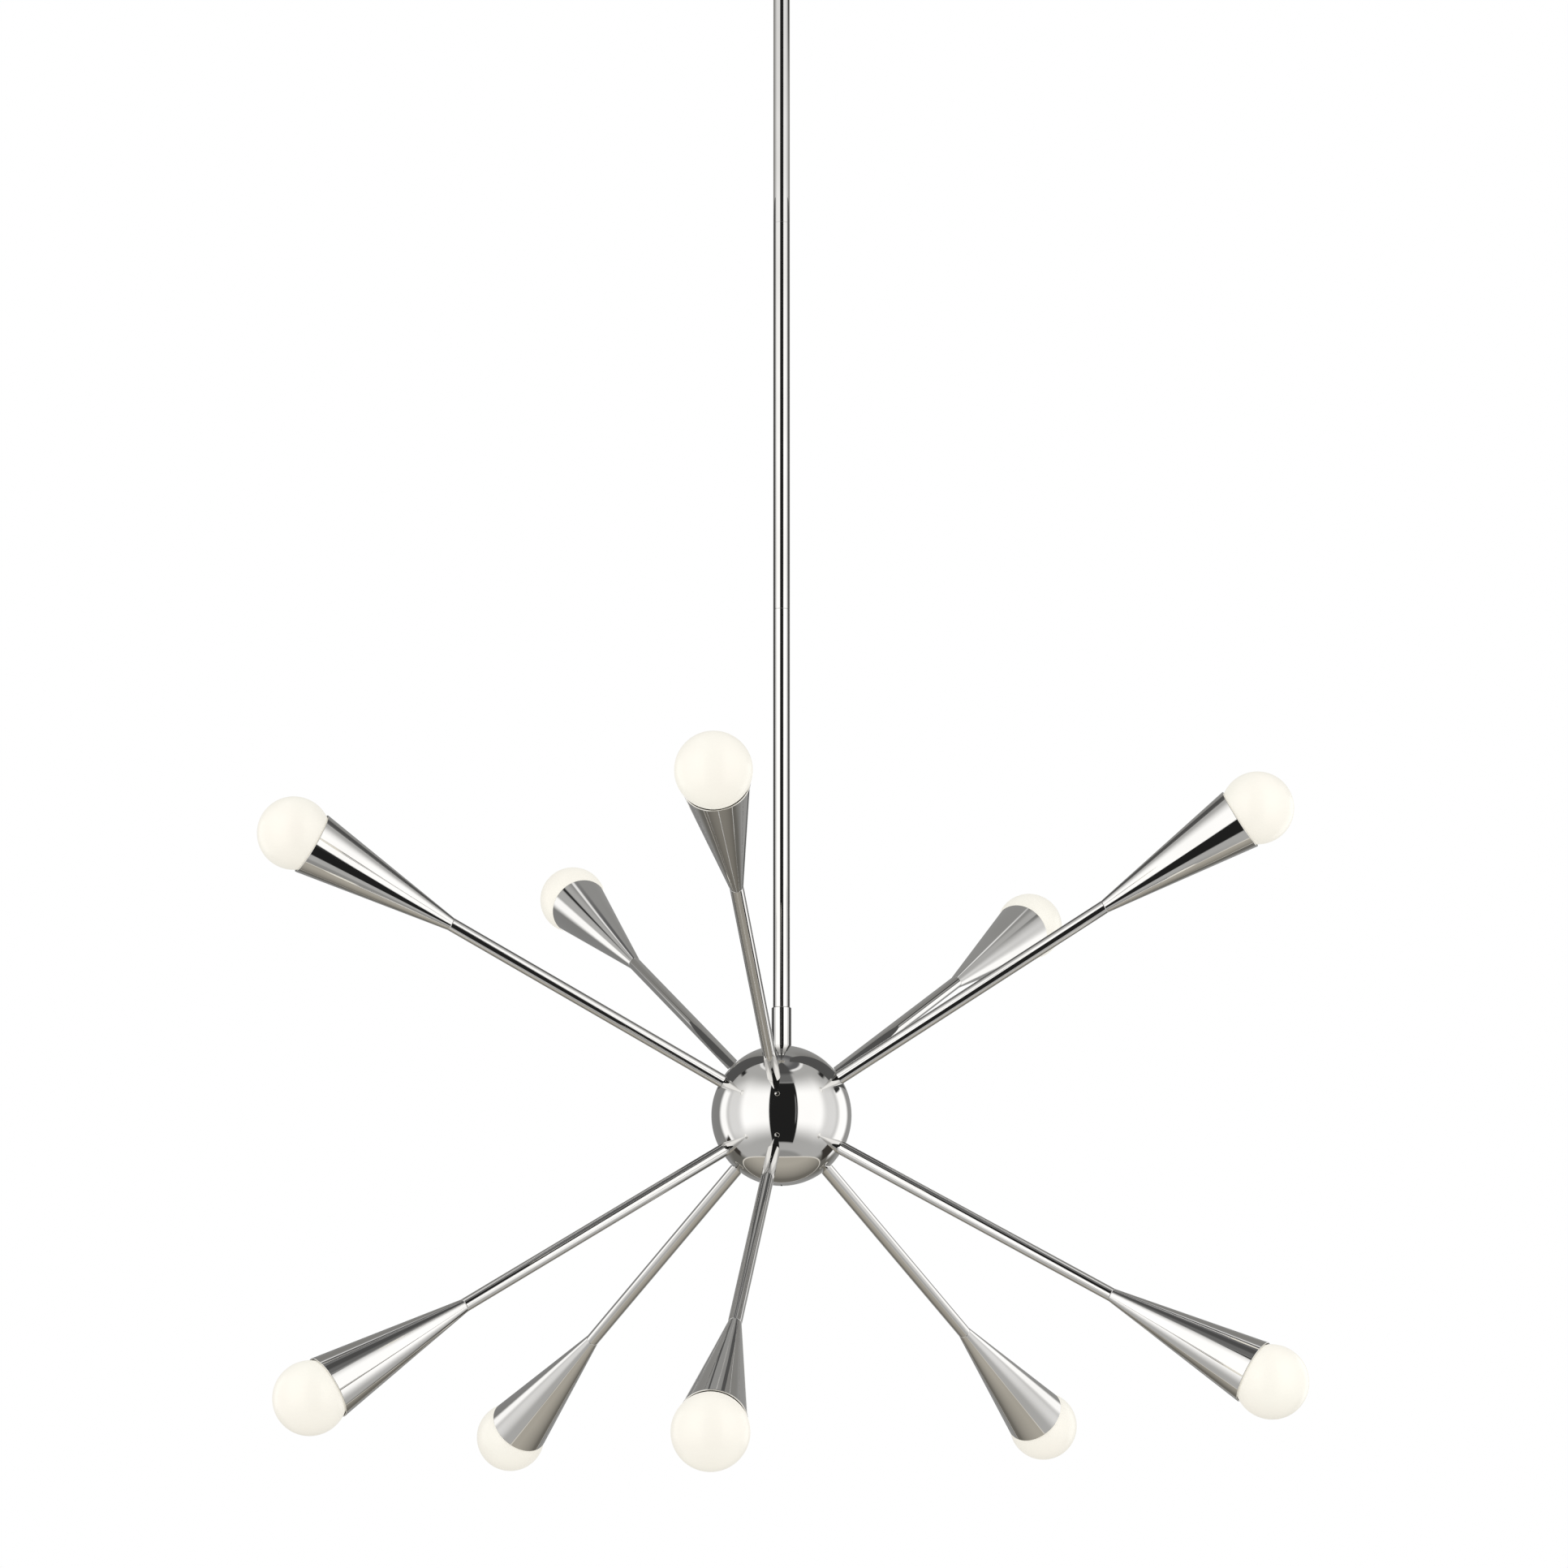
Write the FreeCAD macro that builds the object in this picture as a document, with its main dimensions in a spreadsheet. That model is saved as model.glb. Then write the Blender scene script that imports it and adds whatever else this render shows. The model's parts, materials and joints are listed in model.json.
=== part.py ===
import FreeCAD, Part
import math
import os

import Sketcher

# A chandelier that hangs from the ceiling: canopy and crossbar, swivel, stem in three pieces, a ball of
# two half shells, and ten arms that each carry a cone, a socket and a round bulb.
# Millimetres and degrees. The origin is the centre of the ceiling plane, +Z is up, and the chandelier
# hangs below it. The side that faces -Y is the front.

os.makedirs("parts", exist_ok=True)
doc = FreeCAD.newDocument("Chandelier")

# ---------------------------------------------------------------- sizes

# name, value, what it is
sizes = (
    ("canopy_diameter", "127", "ceiling cup, across"),
    ("canopy_depth", "25", "ceiling cup, deep"),
    ("canopy_wall", "1", "ceiling cup, sheet"),
    ("canopy_corner", "8", "ceiling cup, outer radius of its edge"),
    ("bar_length", "108", "crossbar, long"),
    ("bar_width", "16", "crossbar, wide"),
    ("bar_thickness", "2", "crossbar, thick"),
    ("bar_hole_diameter", "11", "crossbar, hole for the leads"),
    ("box_narrow_spacing", "69.85", "screws of a small ceiling box, apart"),
    ("box_wide_spacing", "88.9", "screws of a large ceiling box, apart"),
    ("box_slot_width", "4.4", "crossbar, slot for a box screw"),
    ("stud_spacing", "52", "canopy studs, apart"),
    ("stud_diameter", "4.2", "canopy stud"),
    ("stud_stand_out", "7", "canopy stud, length below the canopy"),
    ("cap_nut_diameter", "9.5", "cap nut, across"),
    ("cap_nut_height", "10", "cap nut, high"),
    ("ground_screw_diameter", "4", "ground screw"),
    ("ground_head_diameter", "8", "ground screw, head"),
    ("ground_head_height", "2", "ground screw, head"),
    ("ground_screw_offset", "14", "ground screw, from the middle of the crossbar"),
    ("thread_diameter", "10", "threaded ends of the swivel, the stem pieces and the tie rod"),
    ("thread_bore", "6.4", "lead hole through those ends"),
    ("locknut_across", "15", "locknut, across flats"),
    ("locknut_height", "4", "locknut, high"),
    ("swivel_diameter", "18", "swivel fork, across"),
    ("swivel_web", "5", "swivel fork, thickness above its slot"),
    ("swivel_ear", "2.3", "swivel fork, thickness of an ear"),
    ("swivel_thread_spare", "2", "swivel fork, thread that shows past its locknut"),
    ("tang_width", "10", "tang, across its two cheeks"),
    ("tang_radius", "6", "tang, rounded end of a cheek"),
    ("tang_slot", "5", "tang, gap between its cheeks for the leads"),
    ("tang_collar_diameter", "16", "tang, round shoulder"),
    ("tang_collar_height", "4", "tang, shoulder thickness"),
    ("pin_diameter", "4", "swivel pin"),
    ("pin_head_diameter", "7", "swivel pin, head"),
    ("pin_head_height", "1.6", "swivel pin, head"),
    ("pin_slot_width", "0.8", "swivel pin, driver slot"),
    ("stem_diameter", "12.7", "stem piece, half inch tube"),
    ("stem_length", "304.8", "stem piece, one foot"),
    ("stem_thread_length", "11", "stem piece, male end"),
    ("stem_plug_length", "12", "stem piece, plug inside its lower end"),
    ("collar_height", "28.5", "collar, from the top of the ball to its top face"),
    ("collar_step", "1.1", "collar, how far it stands out past the stem"),
    ("collar_rounding", "0.8", "collar, rounding of its top edge"),
    ("ball_diameter", "105", "ball"),
    ("ball_wall", "1.6", "ball, shell thickness"),
    ("lip_depth", "2.5", "ball, lip of the upper shell inside the lower one"),
    ("lip_thickness", "0.75", "ball, thickness of that lip"),
    ("tie_rod_overlap", "14", "tie rod, length inside the collar"),
    ("tie_rod_window", "24", "tie rod, length of its lead window"),
    ("tie_rod_window_width", "4.8", "tie rod, width of that window"),
    ("closing_screw_diameter", "6", "screw that closes the ball"),
    ("closing_head_diameter", "12", "screw that closes the ball, head"),
    ("closing_head_height", "1.8", "screw that closes the ball, head"),
    ("closing_slot_width", "1.2", "screw that closes the ball, driver slot"),
    ("closing_screw_length", "14", "screw that closes the ball, under its head"),
    ("closing_seat", "2.2", "lower shell, metal between the closing head and the tie rod"),
    ("closing_seat_width", "2", "lower shell, thick metal past the closing head, all round"),
    ("arm_reach", "288.5", "arm, from the ball's centre to the cone"),
    ("arm_diameter", "10", "arm tube"),
    ("arm_wall", "1", "arm tube, wall"),
    ("arm_thread_diameter", "8", "arm, threaded ends"),
    ("arm_thread_bore", "5.8", "arm, lead hole through the threaded ends"),
    ("arm_plug_length", "8", "arm, solid stretch inside each end of the tube"),
    ("arm_thread_spare", "1.8", "arm, thread that shows past its nut"),
    ("arm_nut_across", "13", "arm nut, across flats"),
    ("arm_nut_height", "4", "arm nut, high"),
    ("cone_length", "118.5", "cone, from its small end to its rim"),
    ("cone_wall", "0.9", "cone, sheet"),
    ("cone_base", "10", "cone, tapped solid end"),
    ("bulb_diameter", "53.4", "bulb, globe"),
    ("bulb_length", "76", "bulb, with its cap"),
    ("bulb_stand_out", "15", "bulb, centre of the globe past the cone's rim"),
    ("bulb_gap", "0.6", "bulb, clear of the cone's rim"),
    ("bulb_glass", "1", "bulb, glass thickness"),
    ("bulb_neck_diameter", "18", "bulb, where its neck meets the globe"),
    ("cap_diameter", "11.9", "bulb cap, candelabra size"),
    ("cap_length", "17", "bulb cap"),
    ("cap_wall", "0.4", "bulb cap, sheet"),
    ("cap_contact_diameter", "4.4", "bulb cap, end contact"),
    ("cap_contact_height", "0.8", "bulb cap, end contact"),
    ("socket_diameter", "18.5", "socket, body"),
    ("socket_base_diameter", "14", "socket, foot"),
    ("socket_base_height", "8", "socket, foot"),
    ("socket_grip", "10", "socket, depth of arm thread that it takes"),
    ("socket_floor", "8", "socket, thickness of its floor"),
    ("thread_gap", "0.05", "between a thread and its hole, all round"),
    ("clear_gap", "0.3", "between pieces that lie beside each other"),
    ("swivel_gap", "0.2", "between the tang's cheeks and the fork's ears"),
    ("turn_gap", "0.1", "between the fork and the canopy"),
    ("upper_front_bearing", "-7", "arm bearings go round from the front towards +X"),
    ("upper_front_lift", "27", "arm lifts go up from level"),
    ("upper_right_bearing", "73.5", ""),
    ("upper_right_lift", "30.5", ""),
    ("upper_back_right_bearing", "147.5", ""),
    ("upper_back_right_lift", "27", ""),
    ("upper_back_left_bearing", "208", ""),
    ("upper_back_left_lift", "30.5", ""),
    ("upper_left_bearing", "289.5", ""),
    ("upper_left_lift", "27", ""),
    ("lower_front_bearing", "-8", ""),
    ("lower_front_lift", "-36.5", ""),
    ("lower_right_bearing", "71.5", ""),
    ("lower_right_lift", "-29", ""),
    ("lower_back_right_bearing", "145", ""),
    ("lower_back_right_lift", "-30.5", ""),
    ("lower_back_left_bearing", "217", ""),
    ("lower_back_left_lift", "-32", ""),
    ("lower_left_bearing", "292.5", ""),
    ("lower_left_lift", "-31", ""),
)

sheet = doc.addObject("Spreadsheet::Sheet", "Sizes")
for row, (name, value, note) in enumerate(sizes, start=1):
    sheet.set(f"A{row}", note)
    sheet.set(f"B{row}", value)
    sheet.setAlias(f"B{row}", name)
doc.recompute()


class Size:
    """A number together with the sheet expression that gives it."""

    def __init__(self, value, text):
        self.value = value
        self.text = text

    def __add__(self, other):
        other = as_size(other)
        return Size(self.value + other.value, f"({self.text} + {other.text})")

    def __sub__(self, other):
        other = as_size(other)
        return Size(self.value - other.value, f"({self.text} - {other.text})")

    def __mul__(self, other):
        other = as_size(other)
        return Size(self.value * other.value, f"({self.text} * {other.text})")

    def __truediv__(self, other):
        other = as_size(other)
        return Size(self.value / other.value, f"({self.text} / {other.text})")

    def __neg__(self):
        return Size(-self.value, f"(0 - {self.text})")


def as_size(number):
    """A plain number as a Size."""
    if isinstance(number, Size):
        return number
    return Size(float(number), f"{number}")


def size(name):
    """The Size that the sheet holds under a name."""
    return Size(float(sheet.get(name)), f"Sizes.{name}")


def root(square):
    """The square root of a Size."""
    return Size(math.sqrt(square.value), f"sqrt({square.text})")


def other_leg(longest, leg):
    """The third side of a right triangle, such as how high a sphere stands off its upright axis."""
    return root(longest * longest - leg * leg)


# ---------------------------------------------------------------- ways of making a piece

ZERO = as_size(0)


class Arc:
    """A corner of an outline that is reached by an arc round a centre."""

    def __init__(self, across, along, centre, turn):
        self.point = (across, along)
        self.centre = centre
        self.turn = turn


class Circle:
    """A round hole or disc of an outline."""

    def __init__(self, across, along, radius):
        self.centre = (across, along)
        self.radius = radius


def plane_of(body, role):
    """One of the body's own origin planes."""
    return next(plane for plane in body.Origin.OriginFeatures if plane.Role == role)


def bind(sketch, kind, geometry, end, amount, axis):
    """Hold one coordinate of a point, by its axis where it is zero."""
    if amount.value == 0:
        sketch.addConstraint(Sketcher.Constraint("PointOnObject", geometry, end, axis))
        return
    index = sketch.addConstraint(Sketcher.Constraint(kind, -1, 1, geometry, end, amount.value))
    sketch.setExpression(f"Constraints[{index}]", amount.text)


def fix_point(sketch, geometry, end, across, along):
    """Hold a point by its two distances from the sketch's origin."""
    bind(sketch, "DistanceX", geometry, end, across, -2)
    bind(sketch, "DistanceY", geometry, end, along, -1)


def arc_edge(start, corner):
    """The arc from a point to an Arc corner, turning +1 anticlockwise or -1 clockwise."""
    centre_across, centre_along = (amount.value for amount in corner.centre)
    first = math.atan2(start[1].value - centre_along, start[0].value - centre_across)
    last = math.atan2(corner.point[1].value - centre_along, corner.point[0].value - centre_across)
    sweep = (last - first) * corner.turn % (2 * math.pi)
    middle = first + corner.turn * sweep / 2
    radius = math.hypot(start[0].value - centre_across, start[1].value - centre_along)
    middle_across = centre_across + radius * math.cos(middle)
    middle_along = centre_along + radius * math.sin(middle)
    return Part.Arc(
        FreeCAD.Vector(start[0].value, start[1].value, 0),
        FreeCAD.Vector(middle_across, middle_along, 0),
        FreeCAD.Vector(corner.point[0].value, corner.point[1].value, 0),
    )


def draw_loop(sketch, corners):
    """A closed outline of lines and arcs, every corner bound to the sheet."""
    points = [corner.point if isinstance(corner, Arc) else corner for corner in corners]
    edges = []
    for index, corner in enumerate(corners):
        start = points[index - 1]
        if isinstance(corner, Arc):
            edge = arc_edge(start, corner)
        else:
            edge = Part.LineSegment(
                FreeCAD.Vector(start[0].value, start[1].value, 0),
                FreeCAD.Vector(corner[0].value, corner[1].value, 0),
            )
        edges.append(sketch.addGeometry(edge, False))
    for index, corner in enumerate(corners):
        # an arc numbers its own ends anticlockwise, so the ends that meet are found by their place
        start = points[index - 1]
        here = edges[index]
        before = edges[index - 1]
        end_here = end_at(sketch, here, start)
        end_before = end_at(sketch, before, start)
        sketch.addConstraint(Sketcher.Constraint("Coincident", before, end_before, here, end_here))
        fix_point(sketch, here, end_here, *start)
        if isinstance(corner, Arc):
            fix_centre(sketch, here, start, corner)


def fix_centre(sketch, geometry, start, corner):
    """Hold an arc's centre by the one coordinate that its two ends leave open."""
    wide = abs(corner.point[0].value - start[0].value)
    tall = abs(corner.point[1].value - start[1].value)
    if wide > tall:
        bind(sketch, "DistanceY", geometry, 3, corner.centre[1], -1)
    else:
        bind(sketch, "DistanceX", geometry, 3, corner.centre[0], -2)


def end_at(sketch, geometry, point):
    """Which end of an edge, 1 or 2, lies at a point."""
    place = FreeCAD.Vector(point[0].value, point[1].value, 0)
    gaps = {end: sketch.getPoint(geometry, end).distanceToPoint(place) for end in (1, 2)}
    return min(gaps, key=gaps.get)


def draw(body, role, loops, offset=None):
    """A sketch of closed outlines on one of the body's origin planes, or that far off it."""
    sketch = body.newObject("Sketcher::SketchObject", f"{body.Name}_outline")
    sketch.AttachmentSupport = [(plane_of(body, role), "")]
    sketch.MapMode = "FlatFace"
    if offset is not None:
        sketch.setExpression("AttachmentOffset", upright(ZERO, offset))
    for loop in loops:
        if isinstance(loop, Circle):
            across, along = loop.centre
            centre = FreeCAD.Vector(across.value, along.value, 0)
            disc = Part.Circle(centre, FreeCAD.Vector(0, 0, 1), loop.radius.value)
            geometry = sketch.addGeometry(disc, False)
            fix_point(sketch, geometry, 3, across, along)
            index = sketch.addConstraint(Sketcher.Constraint("Radius", geometry, loop.radius.value))
            sketch.setExpression(f"Constraints[{index}]", loop.radius.text)
        else:
            draw_loop(sketch, loop)
    sketch.Visibility = False
    return sketch


def turn(body, outline):
    """Revolve an outline of (radius, height) corners about the body's upright axis."""
    sketch = draw(body, "XZ_Plane", [outline])
    feature = body.newObject("PartDesign::Revolution", f"{body.Name}_turned")
    feature.Profile = sketch
    feature.ReferenceAxis = (sketch, ["V_Axis"])
    feature.Angle = 360
    return feature


def pad(body, role, loops, length, offset=None):
    """Raise outlines evenly to both sides of their plane."""
    feature = body.newObject("PartDesign::Pad", f"{body.Name}_raised")
    feature.Profile = draw(body, role, loops, offset)
    feature.SideType = "Symmetric"
    feature.setExpression("Length", length.text)
    return feature


def cut(body, role, loops, length):
    """Cut outlines evenly to both sides of their plane."""
    feature = body.newObject("PartDesign::Pocket", f"{body.Name}_cut")
    feature.Profile = draw(body, role, loops)
    feature.SideType = "Symmetric"
    feature.Type = "Length"
    feature.setExpression("Length", length.text)
    cuts.append((body, feature))
    return feature


def drill(body, radius, length, rotation):
    """A round hole from the body's origin outwards."""
    feature = body.newObject("PartDesign::SubtractiveCylinder", f"{body.Name}_drilled")
    feature.setExpression("Radius", radius.text)
    feature.setExpression("Height", length.text)
    feature.setExpression("Placement", f"placement(vector(0; 0; 0); {rotation})")
    cuts.append((body, feature))
    return feature


def window(left, right, bottom, top):
    """The four corners of a rectangle."""
    return [(left, bottom), (right, bottom), (right, top), (left, top)]


def upright(across, height):
    """The placement of a piece that stands upright."""
    return f"placement(vector({across.text}; 0; {height.text}); rotation(0; 0; 0))"


def aimed(bearing, lift):
    """The rotation that lays a piece's upright axis along a bearing and a lift."""
    yaw = bearing - 90
    pitch = as_size(90) - lift
    return f"rotation({yaw.text}; {pitch.text}; 0)"


def new_body(label):
    """An empty body with a name of its own."""
    body = doc.addObject("PartDesign::Body", label)
    body.Label = label
    return body


def sub_part(label, placement):
    """A body that is handed over as a node, at its place."""
    body = new_body(label)
    body.setExpression("Placement", placement)
    nodes.append(body)
    return body


def hexagon(across):
    """The six corners of a nut that is so far across its flats."""
    half = across / 2
    corner = across / root(as_size(3))
    return [
        (corner, ZERO),
        (corner / 2, half),
        (-corner / 2, half),
        (-corner, ZERO),
        (-corner / 2, -half),
        (corner / 2, -half),
    ]


def nut(body, across, hole_radius, height, offset=None):
    """A hex nut, half its height either side of the body's origin or of a point above it."""
    return pad(body, "XY_Plane", [hexagon(across), Circle(ZERO, ZERO, hole_radius)], height, offset)


def group(label, master, placements):
    """Copies of one master at several places, as separate solids of one node."""
    copies = []
    for index, placement in enumerate(placements, start=1):
        copy = doc.addObject("App::Link", f"{label}_{index}")
        copy.LinkedObject = master
        copy.setExpression("Placement", placement)
        copies.append(copy)
    compound = doc.addObject("Part::Compound", label)
    compound.Label = label
    compound.Links = copies
    nodes.append(compound)
    return compound


nodes = []
cuts = []

# ---------------------------------------------------------------- heights

thread_radius = size("thread_diameter") / 2
thread_hole_radius = thread_radius + size("thread_gap")
bore_radius = size("thread_bore") / 2
canopy_bottom = -size("canopy_depth")
fork_top = canopy_bottom - size("turn_gap")
pivot_drop = size("swivel_web") + size("clear_gap") + size("tang_radius")
pivot_height = fork_top - pivot_drop
fork_radius = size("swivel_diameter") / 2
slot_half = size("tang_width") / 2 + size("swivel_gap")
ear_radius = other_leg(fork_radius, slot_half)
tang_shoulder = ear_radius + size("clear_gap")
stem_top = pivot_height - tang_shoulder - size("tang_collar_height")
collar_top = stem_top - size("stem_length") * 3

ball_radius = size("ball_diameter") / 2
shell_radius = ball_radius - size("ball_wall")
collar_radius = size("stem_diameter") / 2 + size("collar_step")
collar_seat = ball_radius + size("thread_gap")
ball_height = collar_top - size("collar_height") - ball_radius

# ---------------------------------------------------------------- ceiling mount

# Crossbar: a flat strap under the ceiling box, its top face in the ceiling plane.
bar_half = size("bar_length") / 2
bar_side = size("bar_width") / 2
slot_side = size("box_slot_width") / 2
slot_inner = size("box_narrow_spacing") / 2
slot_outer = size("box_wide_spacing") / 2
stud_offset = size("stud_spacing") / 2
stud_radius = size("stud_diameter") / 2


def slot(side):
    """One long slot of the crossbar, on the +X (1) or the -X (-1) side."""
    near = slot_inner * side
    far = slot_outer * side
    return [
        Arc(near, -slot_side, (near, ZERO), side),
        (far, -slot_side),
        Arc(far, slot_side, (far, ZERO), side),
        (near, slot_side),
    ]


crossbar = sub_part("crossbar", upright(ZERO, -size("bar_thickness") / 2))
pad(
    crossbar,
    "XY_Plane",
    [
        window(-bar_half, bar_half, -bar_side, bar_side),
        Circle(ZERO, ZERO, size("bar_hole_diameter") / 2),
        Circle(stud_offset, ZERO, stud_radius + size("thread_gap")),
        Circle(-stud_offset, ZERO, stud_radius + size("thread_gap")),
        Circle(size("ground_screw_offset"), ZERO, size("ground_screw_diameter") / 2 + size("thread_gap")),
        slot(1),
        slot(-1),
    ],
    size("bar_thickness"),
)

# Studs: flush with the crossbar's top, down through the canopy into the cap nuts.
stud_bottom = canopy_bottom - size("stud_stand_out")
stud_master = new_body("stud_master")
turn(stud_master, [(ZERO, ZERO), (stud_radius, ZERO), (stud_radius, stud_bottom), (ZERO, stud_bottom)])
stud_places = [upright(stud_offset, ZERO), upright(-stud_offset, ZERO)]
group("canopy_studs", stud_master, stud_places)

# Cap nuts: domed, with a blind hole for the stud.
cap_nut_radius = size("cap_nut_diameter") / 2
cap_nut_bottom = canopy_bottom - size("cap_nut_height")
cap_nut_hole = stud_radius + size("thread_gap")
cap_nut_dome = cap_nut_bottom + cap_nut_radius
cap_nut_floor = stud_bottom - size("clear_gap")
cap_nut_master = new_body("cap_nut_master")
turn(
    cap_nut_master,
    [
        (cap_nut_hole, canopy_bottom),
        (cap_nut_radius, canopy_bottom),
        (cap_nut_radius, cap_nut_dome),
        Arc(ZERO, cap_nut_bottom, (ZERO, cap_nut_dome), -1),
        (ZERO, cap_nut_floor),
        (cap_nut_hole, cap_nut_floor),
    ],
)
group("cap_nuts", cap_nut_master, stud_places)

# Ground screw: its head hangs under the crossbar.
ground_radius = size("ground_screw_diameter") / 2
ground_head_top = -size("bar_thickness")
ground_head_bottom = ground_head_top - size("ground_head_height")
ground_head_radius = size("ground_head_diameter") / 2
ground_screw = sub_part("ground_screw", upright(size("ground_screw_offset"), ZERO))
turn(
    ground_screw,
    [
        (ZERO, ZERO),
        (ground_radius, ZERO),
        (ground_radius, ground_head_top),
        (ground_head_radius, ground_head_top),
        (ground_head_radius, ground_head_bottom),
        (ZERO, ground_head_bottom),
    ],
)

# Canopy: a spun cup, its rim in the ceiling plane, with holes for the swivel and the studs.
canopy_radius = size("canopy_diameter") / 2
canopy_wall = size("canopy_wall")
corner_across = canopy_radius - size("canopy_corner")
corner_height = canopy_bottom + size("canopy_corner")
canopy_hole = thread_radius + size("turn_gap")
canopy = sub_part("canopy", upright(ZERO, ZERO))
turn(
    canopy,
    [
        (canopy_radius, ZERO),
        (canopy_radius, corner_height),
        Arc(corner_across, canopy_bottom, (corner_across, corner_height), -1),
        (canopy_hole, canopy_bottom),
        (canopy_hole, canopy_bottom + canopy_wall),
        (corner_across, canopy_bottom + canopy_wall),
        Arc(canopy_radius - canopy_wall, corner_height, (corner_across, corner_height), 1),
        (canopy_radius - canopy_wall, ZERO),
    ],
)
stud_clear = stud_radius + size("clear_gap")
cut(
    canopy,
    "XY_Plane",
    [Circle(stud_offset, ZERO, stud_clear), Circle(-stud_offset, ZERO, stud_clear)],
    size("canopy_depth") * 2 + canopy_wall,
)

# ---------------------------------------------------------------- swivel

# Fork: a stud through the canopy, and two ears that hold the pin. Its origin is the pin's axis.
ear_outside = slot_half + size("swivel_ear")
slot_roof = size("tang_radius") + size("clear_gap")
locknut_bottom = pivot_drop + size("turn_gap") * 2 + canopy_wall
fork_stud_top = locknut_bottom + size("locknut_height") + size("swivel_thread_spare")
pin_hole_radius = size("pin_diameter") / 2 + size("thread_gap")

swivel_fork = sub_part("swivel_fork", upright(ZERO, pivot_height))
turn(
    swivel_fork,
    [
        (bore_radius, -ear_radius),
        (fork_radius, -ear_radius),
        (fork_radius, pivot_drop),
        (thread_radius, pivot_drop),
        (thread_radius, fork_stud_top),
        (bore_radius, fork_stud_top),
    ],
)
below = -ear_radius * 2
outside = fork_radius * 2
# the slot between the ears, and a flat on the outside of each ear
cut(
    swivel_fork,
    "XZ_Plane",
    [
        window(-slot_half, slot_half, below, slot_roof),
        window(ear_outside, outside, below, slot_roof),
        window(-outside, -ear_outside, below, slot_roof),
    ],
    outside,
)
# the rounded ends of the ears, and the pin's hole
cut(
    swivel_fork,
    "YZ_Plane",
    [
        [
            (-outside, ZERO),
            (-outside, below),
            (outside, below),
            (outside, ZERO),
            (ear_radius, ZERO),
            Arc(-ear_radius, ZERO, (ZERO, ZERO), -1),
        ]
    ],
    outside,
)
cut(swivel_fork, "YZ_Plane", [Circle(ZERO, ZERO, pin_hole_radius)], outside)

# Locknut: holds the fork up, inside the canopy.
locknut_middle = pivot_height + locknut_bottom + size("locknut_height") / 2
swivel_locknut = sub_part("swivel_locknut", upright(ZERO, locknut_middle))
nut(swivel_locknut, size("locknut_across"), thread_hole_radius, size("locknut_height"))

# Pin: a slotted screw whose end is flush with the far ear.
pin_radius = size("pin_diameter") / 2
pin_head_radius = size("pin_head_diameter") / 2
pin_head_top = ear_outside + size("pin_head_height")
pin_rotation = aimed(as_size(90), ZERO)
swivel_pin = sub_part("swivel_pin", f"placement(vector(0; 0; {pivot_height.text}); {pin_rotation})")
turn(
    swivel_pin,
    [
        (ZERO, -ear_outside),
        (pin_radius, -ear_outside),
        (pin_radius, ear_outside),
        (pin_head_radius, ear_outside),
        (pin_head_radius, pin_head_top),
        (ZERO, pin_head_top),
    ],
)
driver_half = size("pin_slot_width") / 2
driver_floor = ear_outside + size("pin_head_height") / 2
cut(
    swivel_pin,
    "XZ_Plane",
    [window(-driver_half, driver_half, driver_floor, pin_head_top * 2)],
    size("pin_head_diameter") * 2,
)

# Tang: two cheeks between the ears, a round shoulder, and a stud into the top stem piece.
tang_radius = size("tang_radius")
tang_collar_radius = size("tang_collar_diameter") / 2
tang_bottom = -tang_shoulder - size("tang_collar_height")
tang_slot_half = size("tang_slot") / 2
swivel_tang = sub_part("swivel_tang", upright(ZERO, pivot_height))
turn(
    swivel_tang,
    [
        (bore_radius, -tang_shoulder),
        (tang_collar_radius, -tang_shoulder),
        (tang_collar_radius, tang_bottom),
        (thread_radius, tang_bottom),
        (thread_radius, tang_bottom - size("stem_thread_length")),
        (bore_radius, tang_bottom - size("stem_thread_length")),
    ],
)
pad(
    swivel_tang,
    "YZ_Plane",
    [
        [
            Arc(-tang_radius, ZERO, (ZERO, ZERO), 1),
            (-tang_radius, -tang_shoulder),
            (tang_radius, -tang_shoulder),
            (tang_radius, ZERO),
        ]
    ],
    size("tang_width"),
)
# the gap between the cheeks, and the pin's hole
above = tang_radius * 2
cut(
    swivel_tang,
    "XZ_Plane",
    [window(-tang_slot_half, tang_slot_half, -tang_shoulder, above)],
    outside,
)
cut(swivel_tang, "YZ_Plane", [Circle(ZERO, ZERO, pin_hole_radius)], outside)

# ---------------------------------------------------------------- stem

# Three equal pieces. The male end of each goes into the piece below it, and the lowest into the collar.
# Their origin is the bottom face of the tube.
stem_radius = size("stem_diameter") / 2
stem_length = size("stem_length")
for order, label in enumerate(("stem_lower", "stem_middle", "stem_upper")):
    stem_piece = sub_part(label, upright(ZERO, collar_top + stem_length * order))
    turn(
        stem_piece,
        [
            (bore_radius, -size("stem_thread_length")),
            (thread_radius, -size("stem_thread_length")),
            (thread_radius, ZERO),
            (stem_radius, ZERO),
            (stem_radius, stem_length),
            (thread_hole_radius, stem_length),
            (thread_hole_radius, size("stem_plug_length")),
            (bore_radius, size("stem_plug_length")),
        ],
    )

# ---------------------------------------------------------------- ball

# Every piece of the ball and the arms has its origin at the ball's centre.
at_ball = upright(ZERO, ball_height)

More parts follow.
